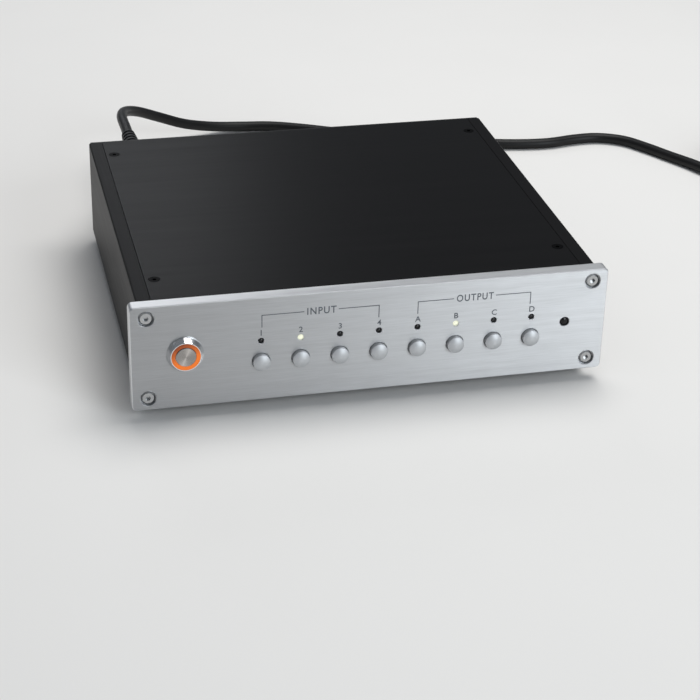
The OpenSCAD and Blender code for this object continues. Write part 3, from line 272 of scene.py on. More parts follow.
class Recipe:
    """A Geometry Nodes tree with named inputs that ends in one material."""

    def __init__(self, name: str, inputs: dict[str, str]) -> None:
        """Start a tree.

        Args:
            name: the tree's name.
            inputs: label to socket type.
        """
        self.tree = bpy.data.node_groups.new(name, "GeometryNodeTree")
        add = self.tree.interface.new_socket
        wanted = {**inputs, "Material": "NodeSocketMaterial"}
        self.keys = {label: add(label, in_out="INPUT", socket_type=kind).identifier
                     for label, kind in wanted.items()}
        add("Geometry", in_out="OUTPUT", socket_type="NodeSocketGeometry")
        self.given = self.tree.nodes.new("NodeGroupInput")

    def take(self, label: str) -> bpy.types.NodeSocket:
        """The input of that label."""
        return self.given.outputs[label]

    def node(self, kind: str, settings: dict[str, Any] | None = None,
             sockets: dict[Any, Any] | None = None, out: int | str = 0) -> bpy.types.NodeSocket:
        """Add a node, as add_node does, and give one of its outputs."""
        return add_node(self.tree, kind, settings or {}, sockets or {}).outputs[out]

    def end(self, geometry: bpy.types.NodeSocket) -> None:
        """Realize the geometry, give it its material and make it the result.

        Args:
            geometry: the output that holds the geometry.
        """
        solid = self.node("GeometryNodeRealizeInstances", {}, {"Geometry": geometry})
        painted = self.node("GeometryNodeSetMaterial", {},
                            {"Geometry": solid, "Material": self.take("Material")})
        add_node(self.tree, "NodeGroupOutput", {}, {"Geometry": painted})

    def make(self, name: str, values: dict[str, Any],
             source: bpy.types.Mesh | None = None) -> bpy.types.Object:
        """Run the tree into a plain mesh.

        Args:
            name: the new object's name.
            values: label to value, for every input but the geometry.
            source: the mesh that the tree starts from, where it takes one.

        Returns:
            An object at the origin with no modifier left.
        """
        host = stand(name + "_host", source or bpy.data.meshes.new(name))
        modifier = host.modifiers.new("recipe", "NODES")
        modifier.node_group = self.tree
        for label, value in values.items():
            modifier[self.keys[label]] = value
        return stand(name, flatten(host))


# Finishes

class Grain(Enum):
    """Scale of a finish's marks along each axis: a small number is a long mark."""

    ALONG_X = (0.012, 1.0, 1.0)
    SHORT_X = (0.03, 1.0, 1.0)
    ALONG_Y = (1.0, 0.012, 1.0)


def shaded(tint: Colour, share: float) -> Colour:
    """The colour times a share, held at 1."""
    return tuple(min(1.0, part * share) for part in tint)


@dataclass(frozen=True)
class Brushed:
    """Metal or anodised metal with straight brush marks.

    The marks are a fine and a broad noise, each so many times as dense as marks says. Where front
    is set, the face that lies at that Y throws its highlights across the marks, and the edges and
    faces behind it get a painted highlight: their colour is painted brighter.
    """

    name: str
    tint: Colour
    roughness: float
    grain: Grain = Grain.ALONG_X
    metallic: float = 1.0
    specular: float = 0.5
    contrast: float = 0.1
    marks: float = 1100.0
    depth: float = 0.004 * MM
    front: float | None = None
    fine: float = 2.6
    broad: float = 0.35
    fine_share: float = 0.6
    swing: float = 0.2
    spread: float = 0.92
    spread_turn: float = 0.25
    # Share of the tint on the edges and faces behind the front: a painted highlight.
    painted_edge_highlight_share: float = 1.45
    edge_depth: float = 0.1 * MM

    def material(self) -> bpy.types.Material:
        """Make the material.

        Returns:
            The material.
        """
        sheet = Sheet(self.name)
        fine = sheet.noise(self.marks * self.fine, stretch=self.grain.value)
        broad = sheet.noise(self.marks * self.broad, detail=3.0, stretch=self.grain.value)
        mark = fine * self.fine_share + broad * (1 - self.fine_share)
        look = {"Base Color": self.tone(sheet, 1.0, mark), "Metallic": self.metallic,
                "Roughness": sheet.sway(mark, self.roughness, self.swing),
                "Specular IOR Level": self.specular, "Normal": sheet.bump(mark, self.depth)}
        if self.front is None:
            return sheet.surface(look)
        _, y, _ = sheet.axes(sheet.spot())
        # Mask of the edges and faces behind the front: they get plain shading and a painted
        # highlight, a brighter colour.
        edge = ((y - self.front) / self.edge_depth).clamped()
        face = sheet.shader({**look, "Anisotropic": self.spread,
                             "Anisotropic Rotation": self.spread_turn})
        side = sheet.shader({**look, "Base Color": self.tone(sheet, self.painted_edge_highlight_share, mark)})
        return sheet.end(sheet.mix(edge, face, side))

    def tone(self, sheet: Sheet, share: float, mark: Value) -> Value:
        """Colour of the marks on a share of the tint."""
        return sheet.tone(shaded(self.tint, share), 1 - self.contrast, 1 + self.contrast, mark)


@dataclass(frozen=True)
class Turned:
    """Spun metal: fine rings about an axis along Y, with a painted highlight: the bright streak
    that such rings throw back, painted into the colour.
    """

    name: str
    tint: Colour
    roughness: float
    centre: Point
    # Lean of the painted highlight streak across the cap, in degrees.
    painted_glint_lean: float = -22.0
    rings: float = 3200.0
    depth: float = 0.03 * MM
    swing: float = 0.16
    heart: float = 0.05 * MM
    painted_glint_share: float = 0.7
    dark: float = 0.5
    bright: float = 1.25

    def material(self) -> bpy.types.Material:
        """Make the material.

        Returns:
            The material.
        """
        sheet = Sheet(self.name)
        x, _, z = sheet.axes(sheet.spot(shift=tuple(-part for part in self.centre)))
        radius = (x * x + z * z).root()
        ring = sheet.node("ShaderNodeTexNoise", {"noise_dimensions": "1D"},
                          {"W": radius, "Scale": self.rings, "Detail": 2.0})
        lean = math.radians(self.painted_glint_lean)
        # Painted highlight: a bright streak through the centre, painted into the base colour.
        across = (x * math.cos(lean) + z * math.sin(lean)) / (radius + self.heart)
        painted_glint = 1.0 - (across * across).root().clamped()
        light = (painted_glint * painted_glint * self.painted_glint_share + ring * (1 - self.painted_glint_share)).clamped()
        return sheet.surface({
            "Base Color": sheet.tone(self.tint, self.dark, self.bright, light),
            "Metallic": 1.0, "Roughness": sheet.sway(ring, self.roughness, self.swing),
            "Normal": sheet.bump(ring, self.depth)})


@dataclass(frozen=True)
class Plated:
    """Smooth plated metal with a faint cloud in its polish."""

    name: str
    tint: Colour
    roughness: float
    cloud: float = 260.0
    metallic: float = 1.0
    depth: float = 0.002 * MM
    swing: float = 0.12
    dark: float = 0.92
    bright: float = 1.06

    def material(self) -> bpy.types.Material:
        """Make the material.

        Returns:
            The material.
        """
        sheet = Sheet(self.name)
        cloud = sheet.noise(self.cloud, detail=3.0)
        return sheet.surface({
            "Base Color": sheet.tone(self.tint, self.dark, self.bright, cloud),
            "Metallic": self.metallic, "Roughness": sheet.sway(cloud, self.roughness, self.swing),
            "Normal": sheet.bump(cloud, self.depth)})


@dataclass(frozen=True)
class Moulded:
    """Moulded plastic, rubber or laminate with a fine even grain and patches many grains wide."""

    name: str
    tint: Colour
    roughness: float
    grain: float = 2600.0
    depth: float = 0.02 * MM
    mottle: float = 0.1
    specular: float = 0.5
    patch: float = 60.0
    grain_share: float = 0.4
    swing: float = 0.16

    def material(self) -> bpy.types.Material:
        """Make the material.

        Returns:
            The material.
        """
        sheet = Sheet(self.name)
        grain = sheet.noise(self.grain)
        patch = sheet.noise(self.grain / self.patch, detail=3.0)
        mark = grain * self.grain_share + patch * (1 - self.grain_share)
        return sheet.surface({
            "Base Color": sheet.tone(self.tint, 1 - self.mottle, 1 + self.mottle, mark),
            "Roughness": sheet.sway(patch, self.roughness, self.swing),
            "Specular IOR Level": self.specular, "Normal": sheet.bump(grain, self.depth)})


@dataclass(frozen=True)
class Glow:
    """Translucent plastic lit from behind, hot low and right and fading towards the upper left."""

    name: str
    tint: Colour
    hot: Colour
    strength: float
    low: Point
    high: Point
    roughness: float = 0.3
    swing: float = 0.1
    dim: float = 0.8
    cloud: float = 700.0
    cloud_share: float = 0.15
    rise_share: float = 0.6
    across_share: float = 0.25
    fade_start: float = 0.0
    fade_range: float = 1.0

    def material(self) -> bpy.types.Material:
        """Make the material.

        Returns:
            The material.
        """
        sheet = Sheet(self.name)
        x, _, z = sheet.axes(sheet.spot())
        across = (self.high[0] - x) / (self.high[0] - self.low[0])
        rise = (z - self.low[2]) / (self.high[2] - self.low[2])
        cloud = sheet.noise(self.cloud)
        light = rise * self.rise_share + across * self.across_share + cloud * self.cloud_share
        fade = ((light - self.fade_start) / self.fade_range).clamped()
        return sheet.surface({
            "Base Color": sheet.tone(self.tint, self.dim, 1.0, cloud),
            "Roughness": sheet.sway(cloud, self.roughness, self.swing),
            "Emission Color": sheet.blend(self.hot, self.tint, fade),
            "Emission Strength": self.strength})


@dataclass(frozen=True)
class Ink:
    """Screen-printed ink, a little uneven."""

    name: str
    tint: Colour
    roughness: float = 0.6
    swing: float = 0.2
    specks: float = 3500.0
    depth: float = 0.006 * MM
    dark: float = 0.8
    bright: float = 1.15

    def material(self) -> bpy.types.Material:
        """Make the material.

        Returns:
            The material.
        """
        sheet = Sheet(self.name)
        speck = sheet.noise(self.specks, detail=3.0)
        return sheet.surface({
            "Base Color": sheet.tone(self.tint, self.dark, self.bright, speck),
            "Roughness": sheet.sway(speck, self.roughness, self.swing),
            "Normal": sheet.bump(speck, self.depth)})


Finish = Brushed | Turned | Plated | Moulded | Glow | Ink


# Shared helpers

def dress(finish: Finish, *nodes: str) -> None:
    """Give CAD nodes a finish and log it.

    Args:
        finish: the finish.
        nodes: the nodes' names.
    """
    material = finish.material()
    for name in nodes:
        slots = frame["nodes"][name].data.materials
        slots.clear()
        slots.append(material)
        LOG.info("%s: %s", name, material.name)


def middle(node: str) -> Vector:
    """Middle of a CAD node's box."""
    low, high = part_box(node)
    return (low + high) / 2


def smooth(points: Sequence[Vector], steps: int) -> list[Vector]:
    """Points on a smooth curve through the given ones.

    Args:
        points: the points that it passes through.
        steps: stretches between two of them.

    Returns:
        The curve's points, the last one included.
    """
    made: list[Vector] = []
    last = len(points) - 1
    for i in range(last):
        a, b, c, d = points[max(i - 1, 0)], points[i], points[i + 1], points[min(i + 2, last)]
        for k in range(steps):
            t = k / steps
            made.append((2 * b + (c - a) * t + (2 * a - 5 * b + 4 * c - d) * t * t
                         + (3 * b - a - 3 * c + d) * t * t * t) / 2)
    return [*made, points[last]]


def report(piece: bpy.types.Object) -> None:
    """Log a finished piece with its triangle count."""
    count = sum(len(face.vertices) - 2 for face in piece.data.polygons)
    LOG.info("%s: %d triangles on %s", piece.name, count, piece.get("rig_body"))


class Face(Enum):
    """The panel that a legend is printed on, and which way it looks along Y."""

    FRONT = ("front_panel", -1)
    REAR = ("rear_panel", 1)

    def print_plane(self, x: float, height: float) -> Matrix:
        """Frame of a print: its X reads along the panel, its Z comes out of it.

        Args:
            x: place across the panel.
            height: place above the front panel's lower edge.

        Returns:
            The matrix from the print to the object.
        """
        node, look = self.value
        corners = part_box(node)
        y = corners[0].y if look < 0 else corners[1].y
        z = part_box("front_panel")[0].z + height
        turn = Matrix.Rotation(0.0 if look < 0 else math.pi, 4, "Z")
        return Matrix.Translation((x, y, z)) @ turn @ Matrix.Rotation(math.pi / 2, 4, "X")


@dataclass(frozen=True)
class SoftBox:
    """One soft box: where it hangs, the point that it faces, its size, watts and colour."""

    name: str
    place: Point
    aim: Point
    size: tuple[float, float]
    power: float
    tint: Colour

    def build(self) -> None:
        """Hang the soft box."""
        data = bpy.data.lights.new(self.name, "AREA")
        data.shape = "RECTANGLE"
        data.size, data.size_y = self.size
        data.energy = self.power
        data.color = self.tint
        sight = Vector(self.aim) - Vector(self.place)
        lamp = stand(self.name, data)
        lamp.location = self.place
        lamp.rotation_mode = "QUATERNION"
        lamp.rotation_quaternion = sight.to_track_quat("-Z", "Y")


@dataclass
class Studio:
    """Camera, floor and soft boxes."""

    target: Point = (-0.01214, -0.1145, 0.03055)
    azimuth: float = -13.817
    elevation: float = 28.26
    distance: float = 0.944
    roll: float = 1.419
    lens: float = 97.07
    sensor: float = 36.0
    floor_size: float = 12.0
    paper: Moulded = Moulded("floor_paper", (0.80, 0.79, 0.775), 0.75, grain=900.0,
                             depth=0.01 * MM, mottle=0.015, specular=0.25)
    sky: Colour = (0.86, 0.92, 1.0)
    sky_strength: float = 0.21
    boxes: tuple[SoftBox, ...] = (
        SoftBox("overhead", place=(0.35, 0.25, 1.5), aim=(0.0, 0.0, 0.0), size=(1.2, 1.0),
                power=19.0, tint=(1.0, 0.99, 0.97)),
        SoftBox("front_right", place=(1.08, -2.06, 0.85), aim=(0.08, -0.1, 0.02),
                size=(1.1, 1.4), power=29.0, tint=(0.90, 0.96, 1.0)),
        SoftBox("back_left", place=(-0.19, 1.3, 0.74), aim=(-0.05, -0.05, 0.06),
                size=(0.75, 0.45), power=1.75, tint=(0.95, 0.97, 1.0)))

    def build(self) -> None:
        """Make the whole studio."""
        self.build_camera()
        self.build_floor()
        self.build_sky()
        for box in self.boxes:
            box.build()

    def build_camera(self) -> None:
        """Place the camera where the photograph was taken from."""
        turn = math.radians(self.azimuth)
        rise = math.radians(self.elevation)
        back = Vector((math.sin(turn) * math.cos(rise), -math.cos(turn) * math.cos(rise),
                       math.sin(rise)))
        data = bpy.data.cameras.new("camera")
        data.lens = self.lens
        data.sensor_width = self.sensor
        camera = stand("camera", data)
        camera.location = Vector(self.target) + back * self.distance
        camera.rotation_mode = "QUATERNION"
        lean = Quaternion((0, 0, 1), math.radians(self.roll))
        camera.rotation_quaternion = (-back).to_track_quat("-Z", "Y") @ lean
        bpy.context.scene.camera = camera

    def build_floor(self) -> None:
        """Make the plain pale floor."""
        half = self.floor_size / 2
        mesh = bpy.data.meshes.new("floor")
        mesh.from_pydata([(-half, -half, 0), (half, -half, 0), (half, half, 0), (-half, half, 0)],
                         [], [(0, 1, 2, 3)])
        mesh.materials.append(self.paper.material())
        stand("floor", mesh)

    def build_sky(self) -> None:
        """Make the even light from all round, and plain colour management."""
        world = bpy.data.worlds.new("studio")
        world.use_nodes = True
        back = world.node_tree.nodes["Background"]
        back.inputs["Color"].default_value = (*self.sky, 1.0)
        back.inputs["Strength"].default_value = self.sky_strength
        bpy.context.scene.world = world
        bpy.context.scene.view_settings.view_transform = "Standard"


@dataclass
class MainsLead:
    """The mains lead: connector, cord with its coil, tie and plug."""

    diameter: float = 6.6 * MM
    sides: int = 20
    straight: int = 3
    route_steps: int = 4
    coil_centre: tuple[float, float] = (0.336, 0.122)
    coil_radius: float = 0.043
    coil_step: float = 7.2 * MM
    coil_turns: int = 2
    coil_start: float = 208.0
    coil_height: float = 4.8 * MM
    coil_rings: int = 48
    coil_change: float = 0.5
    tail: float = 0.048
    tail_steps: int = 12
    tie_width: float = 5.0 * MM
    tie_thickness: float = 0.8 * MM
    tie_gap: float = 0.05 * MM
    tie_corner_steps: int = 8
    rubber: Moulded = Moulded("lead_rubber", (0.009, 0.009, 0.0095), 0.46, grain=2200.0,
                              depth=0.03 * MM, specular=0.3)
    sheath: Moulded = Moulded("cord_sheath", (0.007, 0.007, 0.0074), 0.42, grain=1800.0,
                              depth=0.03 * MM, specular=0.22)
    strap: Moulded = Moulded("tie_strap", (0.012, 0.012, 0.012), 0.6, grain=1500.0,
                             depth=0.04 * MM)
    route: list[Point] = field(default_factory=lambda: [
        (-0.087, 0.200, 0.039), (-0.083, 0.217, 0.036), (-0.073, 0.231, 0.030),
        (-0.058, 0.242, 0.021), (-0.040, 0.250, 0.012), (-0.020, 0.257, 0.006),
        (0.000, 0.260, 0.0035), (0.020, 0.257, 0.0035), (0.040, 0.249, 0.0035),
        (0.060, 0.239, 0.0035), (0.080, 0.230, 0.0035), (0.100, 0.221, 0.0035),
        (0.120, 0.213, 0.0035), (0.140, 0.206, 0.0035), (0.160, 0.200, 0.0035),
        (0.180, 0.196, 0.0035), (0.198, 0.195, 0.0035), (0.216, 0.198, 0.0035),
        (0.233, 0.198, 0.0035), (0.249, 0.190, 0.0035), (0.260, 0.175, 0.0035),
        (0.270, 0.158, 0.0035), (0.280, 0.140, 0.004)])

    @property
    def exit(self) -> Vector:
        """Where the cord leaves the connector's strain relief."""
        low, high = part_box("lead_connector")
        return Vector(((low.x + high.x) / 2, high.y, (low.z + high.z) / 2))

    @staticmethod
    def ease(share: float) -> float:
        """Smooth step from 0 to 1."""
        held = min(max(share, 0.0), 1.0)
        return held * held * (3 - 2 * held)

    @staticmethod
    def along(degrees: float) -> Vector:
        """Direction of travel at an angle of the coil."""
        turn = math.radians(degrees)
        return Vector((-math.sin(turn), math.cos(turn), 0.0))

    def on_coil(self, turns: float) -> Vector:
        """Place on the coil after some turns: in on the floor, up a layer, and out again.

        Args:
            turns: turns from the start of the coil.

        Returns:
            The point on the cord's middle line.
        """
        radius = self.coil_radius - self.coil_step * (
            self.coil_turns - abs(self.coil_turns - turns))
        angle = math.radians(self.coil_start + 360 * turns)
        change = (turns - self.coil_turns) / self.coil_change + 0.5
        return Vector((self.coil_centre[0] + radius * math.cos(angle),
                       self.coil_centre[1] + radius * math.sin(angle),
                       self.coil_height + self.coil_step * self.ease(change)))

    def middle_line(self) -> list[Vector]:
        """Trace the whole cord, from the connector to the plug.

        Returns:
            Points along its middle line.
        """
        heading = self.along(self.coil_start)
        first, last = self.on_coil(0), self.on_coil(2 * self.coil_turns)
        join = first - heading * self.diameter
        ends = [self.exit + Vector((0, k * self.diameter, 0)) for k in range(self.straight)]
        landing = [join - heading * self.diameter * k for k in reversed(range(self.straight))]
        free = smooth([*ends, *map(Vector, self.route), *landing], self.route_steps)
        rings = 2 * self.coil_turns * self.coil_rings
        turns = [self.on_coil(k / self.coil_rings) for k in range(rings + 1)]
        rise = Vector((0, 0, middle("plug_pins").z - last.z))
        out = self.tail - self.diameter
        tail = [last + heading * out * k / self.tail_steps + rise * self.ease(k / self.tail_steps)
                for k in range(1, self.tail_steps + 1)]
        return [*free, *turns, *tail, last + heading * self.tail + rise]

    def build(self) -> bpy.types.Object:
        """Make the cord as one unbroken tube.

        Returns:
            The cord, riding with the lead.
        """
        line = self.middle_line()
        path = bpy.data.meshes.new("cord_line")
        path.from_pydata(line, [(k, k + 1) for k in range(len(line) - 1)], [])
        recipe = Recipe("sheath", {"Geometry": "NodeSocketGeometry",
                                   "Radius": "NodeSocketFloat", "Sides": "NodeSocketInt"})
        curve = recipe.node("GeometryNodeMeshToCurve", {}, {"Mesh": recipe.take("Geometry")})
        ring = recipe.node("GeometryNodeCurvePrimitiveCircle", {}, {
            "Resolution": recipe.take("Sides"), "Radius": recipe.take("Radius")})
        tube = recipe.node("GeometryNodeCurveToMesh", {}, {
            "Curve": curve, "Profile Curve": ring, "Fill Caps": True})
        recipe.end(recipe.node("GeometryNodeSetShadeSmooth", {}, {"Geometry": tube}))
        cord = recipe.make("mains_cord_sheath", {
            "Radius": self.diameter / 2, "Sides": self.sides,
            "Material": self.sheath.material()}, path)
        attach(cord, "mains_lead")
        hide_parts("mains_cord", "cord_coil")
        length = sum((b - a).length for a, b in zip(line, line[1:]))
        tuple(self.exit)
        [tuple(p) for p in line]
        return cord

    def build_tie(self) -> bpy.types.Object:
        """Make the strap that hugs the turns, opposite the place where they change layer.

        Returns:
            The strap, riding with the lead.
        """
        opposite = self.coil_start + 180
        angle = math.radians(opposite)
        outward = Vector((math.cos(angle), math.sin(angle), 0.0))
        reach = (self.diameter + self.tie_thickness) / 2 + self.tie_gap
        loop = []
        for corner in range(2 * self.coil_turns):
            for k in range(self.tie_corner_steps + 1):
                turn = -math.pi / 2 * (corner + k / self.tie_corner_steps)
                loop.append(self.on_coil(corner + 0.5) + reach * (
                    outward * math.cos(turn) + Vector((0, 0, math.sin(turn)))))
        path = bpy.data.meshes.new("tie_line")
        path.from_pydata(loop, [(k, (k + 1) % len(loop)) for k in range(len(loop))], [])
        recipe = Recipe("strap", {"Geometry": "NodeSocketGeometry", "Across": "NodeSocketVector",
                                  "Width": "NodeSocketFloat", "Thickness": "NodeSocketFloat"})
        curve = recipe.node("GeometryNodeMeshToCurve", {}, {"Mesh": recipe.take("Geometry")})
        facing = recipe.node("GeometryNodeSetCurveNormal", {"mode": "FREE"}, {
            "Curve": curve, "Normal": recipe.take("Across")})
        band = recipe.node("GeometryNodeCurvePrimitiveQuadrilateral", {}, {
            "Width": recipe.take("Width"), "Height": recipe.take("Thickness")})
        recipe.end(recipe.node("GeometryNodeCurveToMesh", {}, {
            "Curve": facing, "Profile Curve": band}))
        tie = recipe.make("cord_tie_strap", {
            "Across": self.along(opposite), "Width": self.tie_width,
            "Thickness": self.tie_thickness, "Material": self.strap.material()}, path)
        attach(tie, "mains_lead")
        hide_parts("cord_tie")
        return tie

    def dress(self) -> None:
        """Finish the pieces on the cord."""
        dress(self.rubber, "lead_connector", "mains_plug")
        dress(Plated("pin_nickel", NICKEL, 0.22), "plug_pins")


@dataclass
class Case:
    """Front panel, sides, covers, rear panel, their screws and the feet."""

    silver: Colour = (0.50, 0.505, 0.515)
    black: Colour = (0.0042, 0.004, 0.0043)
    bright: Colour = (0.47, 0.475, 0.48)
    blackened: Colour = (0.009, 0.009, 0.0095)
    sunk: Colour = (0.0025, 0.0025, 0.0027)
    rubber: Colour = (0.02, 0.02, 0.02)

    def dress(self) -> None:
        """Finish every piece of the case."""
        # The panel's edges and faces behind its front carry a painted highlight in their colour.
        dress(Brushed("panel_silver", self.silver, 0.38, Grain.SHORT_X, contrast=0.22,
                      depth=0.01 * MM, front=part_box("front_panel")[0].y), "front_panel")
        dress(Brushed("cover_black", self.black, 0.33, Grain.ALONG_X, metallic=0.0,
                      specular=0.08, contrast=0.45, marks=700.0, depth=0.008 * MM),
              "top_cover", "bottom_plate")
        dress(Brushed("side_black", self.black, 0.42, Grain.ALONG_Y, metallic=0.0,
                      specular=0.08, contrast=0.25, marks=900.0, depth=0.005 * MM),
              "left_side_panel", "right_side_panel")
        dress(Brushed("rear_black", self.black, 0.45, Grain.ALONG_X, metallic=0.0,
                      specular=0.25, contrast=0.2, marks=900.0, depth=0.004 * MM), "rear_panel")
        dress(Plated("screw_bright", self.bright, 0.2), "front_panel_screws")
        dress(Plated("screw_black", self.blackened, 0.38), "rear_panel_screws", "inlet_screws")
        dress(Moulded("screw_sunk", self.sunk, 0.34, grain=900.0, depth=0.002 * MM,
                      specular=0.02), "top_cover_screws", "bottom_plate_screws")
        dress(Plated("screw_zinc", STEEL, 0.3), "foot_screws")
        dress(Moulded("foot_rubber", self.rubber, 0.7, grain=1600.0, depth=0.04 * MM), "feet")


@dataclass
class FrontControls:
    """Power switch, selector buttons, lamps and infra-red window."""

    satin: Colour = (0.525, 0.535, 0.55)
    mirror: Colour = (0.78, 0.79, 0.80)
    spun: Colour = (0.54, 0.51, 0.485)
    ring: Colour = (0.11, 0.017, 0.002)
    # Hot end of the ring's glow: partly the lamp's own glow, partly a painted highlight for the
    # glints low and right.
    ring_hot_painted_glint: Colour = (0.74, 0.165, 0.012)
    lit: Colour = (0.46, 0.46, 0.36)
    lit_hot: Colour = (0.76, 0.78, 0.62)
    strength: float = 1.0
    unlit: Colour = (0.006, 0.006, 0.0065)
    window: Colour = (0.004, 0.003, 0.004)

    @property
    def buttons(self) -> list[str]:
        """Names of the eight buttons, from the left."""
        return [f"{group}_button_{sign}" for group, signs in BUTTONS.items() for sign in signs]

    def dress(self) -> None:
        """Finish every control."""
        cap = middle("power_switch_cap")
        dress(Plated("button_satin", self.satin, 0.5, cloud=900.0, metallic=0.6), *self.buttons)
        dress(Plated("bezel_mirror", self.mirror, 0.1), "power_switch_body", "power_switch_nut")
        # The cap's colour carries a painted highlight streak.
        dress(Turned("cap_spun_painted_glint", self.spun, 0.26, centre=tuple(cap)), "power_switch_cap")
        # The ring's glow is the lamp's own; its hot patch low and right is partly a painted
        # highlight.
        dress(Glow("ring_orange", self.ring, self.ring_hot_painted_glint, self.strength,
                   *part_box("power_switch_ring"), fade_start=0.4, fade_range=0.45),
              "power_switch_ring")
        dress(Glow("lamp_lit", self.lit, self.lit_hot, self.strength, *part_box("lit_lamps"),
                   across_share=0.0), "lit_lamps")
        dress(Moulded("lamp_dark", self.unlit, 0.3, grain=900.0, depth=0.002 * MM), "unlit_lamps")
        dress(Moulded("window_dark", self.window, 0.14, grain=700.0, depth=0.001 * MM,
                      specular=0.3), "ir_window")


@dataclass(frozen=True)
class Group:
    """The word over one group of buttons, and where its bracket ends from the outer buttons."""

    name: str
    width: float
    word_shift: float
    left_shift: float
    right_shift: float

    @property
    def signs(self) -> str:
        """The signs of its buttons, from the left."""
        return BUTTONS[self.name]


@dataclass
class Legends:
    """Printed words, figures, brackets and the dotted divider."""

    line: float = 0.45 * MM
    depth: float = 0.04 * MM
    weight: float = 0.018
    spacing: float = 1.2
    extrude: float = 0.5
    weld: float = 0.0001
    bracket: float = 47.3 * MM
    drop: float = 40.6 * MM
    figure: float = 37.7 * MM
    figure_cap: float = 3.1 * MM
    word_cap: float = 3.9 * MM
    gap_left: float = 1.4 * MM
    gap_right: float = 1.1 * MM
    dot_pitch: float = 2.2 * MM
    dot_radius: float = 0.55 * MM
    dot_sides: int = 16
    groups: tuple[Group, ...] = (
        Group("input", width=14.8 * MM, word_shift=0.5 * MM, left_shift=0.4 * MM,
              right_shift=-0.3 * MM),
        Group("output", width=19.3 * MM, word_shift=-0.5 * MM, left_shift=-0.2 * MM,
              right_shift=-1.2 * MM))
    rear_signs: str = "DCBA4321"
    rear_figure: float = 52.6 * MM
    rear_figure_cap: float = 2.6 * MM
    # Each word, the jacks from the first one to its middle, and its width.
    rear_words: tuple[tuple[str, float, float], ...] = (
        ("output", 1.5, 19.2 * MM), ("input", 5.5, 14.9 * MM))
    rear_word: float = 4.6 * MM
    rear_word_cap: float = 3.6 * MM
    row_out: float = 17.0 * MM
    row_cap: float = 5.4 * MM
    supply: float = 51.7 * MM
    front_ink: bpy.types.Material = field(init=False)
    rear_ink: bpy.types.Material = field(init=False)
    strokes: Recipe = field(init=False)

    def __post_init__(self) -> None:
        """Mix the inks and make the tree of the lines."""
        self.front_ink = Ink("ink_grey", (0.10, 0.11, 0.125)).material()
        self.rear_ink = Ink("ink_white", (0.78, 0.78, 0.77)).material()
        self.strokes = self.stroke_recipe()

    def build(self) -> list[bpy.types.Object]:
        """Make every print.

        Returns:
            The prints, riding with the case.
        """
        made = [*self.build_front(), *self.build_rear()]
        for piece in made:
            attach(piece, "case")
        return made

    def letters(self, name: str, text: str) -> bpy.types.Mesh:
        """Set a word in heavy, slightly spaced capitals, as one closed mesh of unit size.

        Args:
            name: the mesh's name.
            text: the word or figure.

        Returns:
            The mesh, flat in X and Y.
        """
        outline = bpy.data.curves.new(name, "FONT")
        outline.body = text
        outline.offset = self.weight
        outline.space_character = self.spacing
        outline.extrude = self.extrude
        mesh = flatten(stand(name + "_host", outline))
        shell = bmesh.new()
        shell.from_mesh(mesh)
        bmesh.ops.remove_doubles(shell, verts=shell.verts, dist=self.weld)
        shell.to_mesh(mesh)
        shell.free()
        return mesh

    def stroke_recipe(self) -> Recipe:
        """Make the tree that turns loose edges into flat printed lines.

        Returns:
            The tree.
        """
        recipe = Recipe("stroke", {"Geometry": "NodeSocketGeometry", "Width": "NodeSocketFloat",
                                   "Depth": "NodeSocketFloat"})
        curve = recipe.node("GeometryNodeMeshToCurve", {}, {"Mesh": recipe.take("Geometry")})
        bar = recipe.node("GeometryNodeCurvePrimitiveQuadrilateral", {}, {
            "Width": recipe.take("Width"), "Height": recipe.take("Depth")})
        recipe.end(recipe.node("GeometryNodeCurveToMesh", {}, {
            "Curve": curve, "Profile Curve": bar, "Fill Caps": True}))
        return recipe

    def word(self, name: str, text: str, face: Face, x: float, height: float, cap: float,
             width: float | None = None) -> bpy.types.Object:
        """Print one word.

        Args:
            name: the piece's name.
            text: the word or figure.
            face: the panel.
            x: its middle across the panel.
            height: its middle above the front panel's lower edge.
            cap: the height of its letters.
            width: its whole width, where that was measured.

        Returns:
            The print.
        """
        mesh = self.letters(name, text)
        mesh.materials.clear()
        mesh.materials.append(self.front_ink if face is Face.FRONT else self.rear_ink)
        spots = [vertex.co for vertex in mesh.vertices]
        low = Vector([min(spot[k] for spot in spots) for k in range(3)])
        high = Vector([max(spot[k] for spot in spots) for k in range(3)])
        tall = cap / (high.y - low.y)
        wide = width / (high.x - low.x) if width else tall
        deep = self.depth / (high.z - low.z)
        mesh.transform(face.print_plane(x, height) @ Matrix.Diagonal((wide, tall, deep, 1))
                       @ Matrix.Translation((low + high) / -2))
        piece = stand(name, mesh)
        return piece

    def lines(self, name: str, strokes: Sequence[tuple[Point, Point]],
              face: Face) -> bpy.types.Object:
        """Print straight lines.

        Args:
            name: the piece's name.
            strokes: pairs of ends, as places across and up the panel.
            face: the panel.

        Returns:
            The print.
        """
        ends = [end for stroke in strokes for end in stroke]
        path = bpy.data.meshes.new(name + "_path")
        path.from_pydata(ends, [(k, k + 1) for k in range(0, len(ends), 2)], [])
        piece = self.strokes.make(name, {
            "Width": self.line, "Depth": self.depth, "Material": self.front_ink}, path)
        piece.data.transform(face.print_plane(0.0, 0.0))
        return piece

    def bracket_lines(self, left: float, right: float, word_left: float,
                      word_right: float) -> list[tuple[Point, Point]]:
        """Strokes of a bracket over one group of buttons.

        Args:
            left: first button across the panel.
            right: last button across the panel.
            word_left: left end of the word in the bracket.
            word_right: right end of that word.

        Returns:
            Pairs of ends.
        """
        half = self.line / 2
        top = self.bracket
        return [((left, self.drop, 0), (left, top + half, 0)),
                ((left - half, top, 0), (word_left - self.gap_left, top, 0)),
                ((word_right + self.gap_right, top, 0), (right + half, top, 0)),
                ((right, self.drop, 0), (right, top + half, 0))]

    def build_front(self) -> list[bpy.types.Object]:
        """Print the front panel's legends."""
        return [piece for group in self.groups for piece in self.build_group(group)]

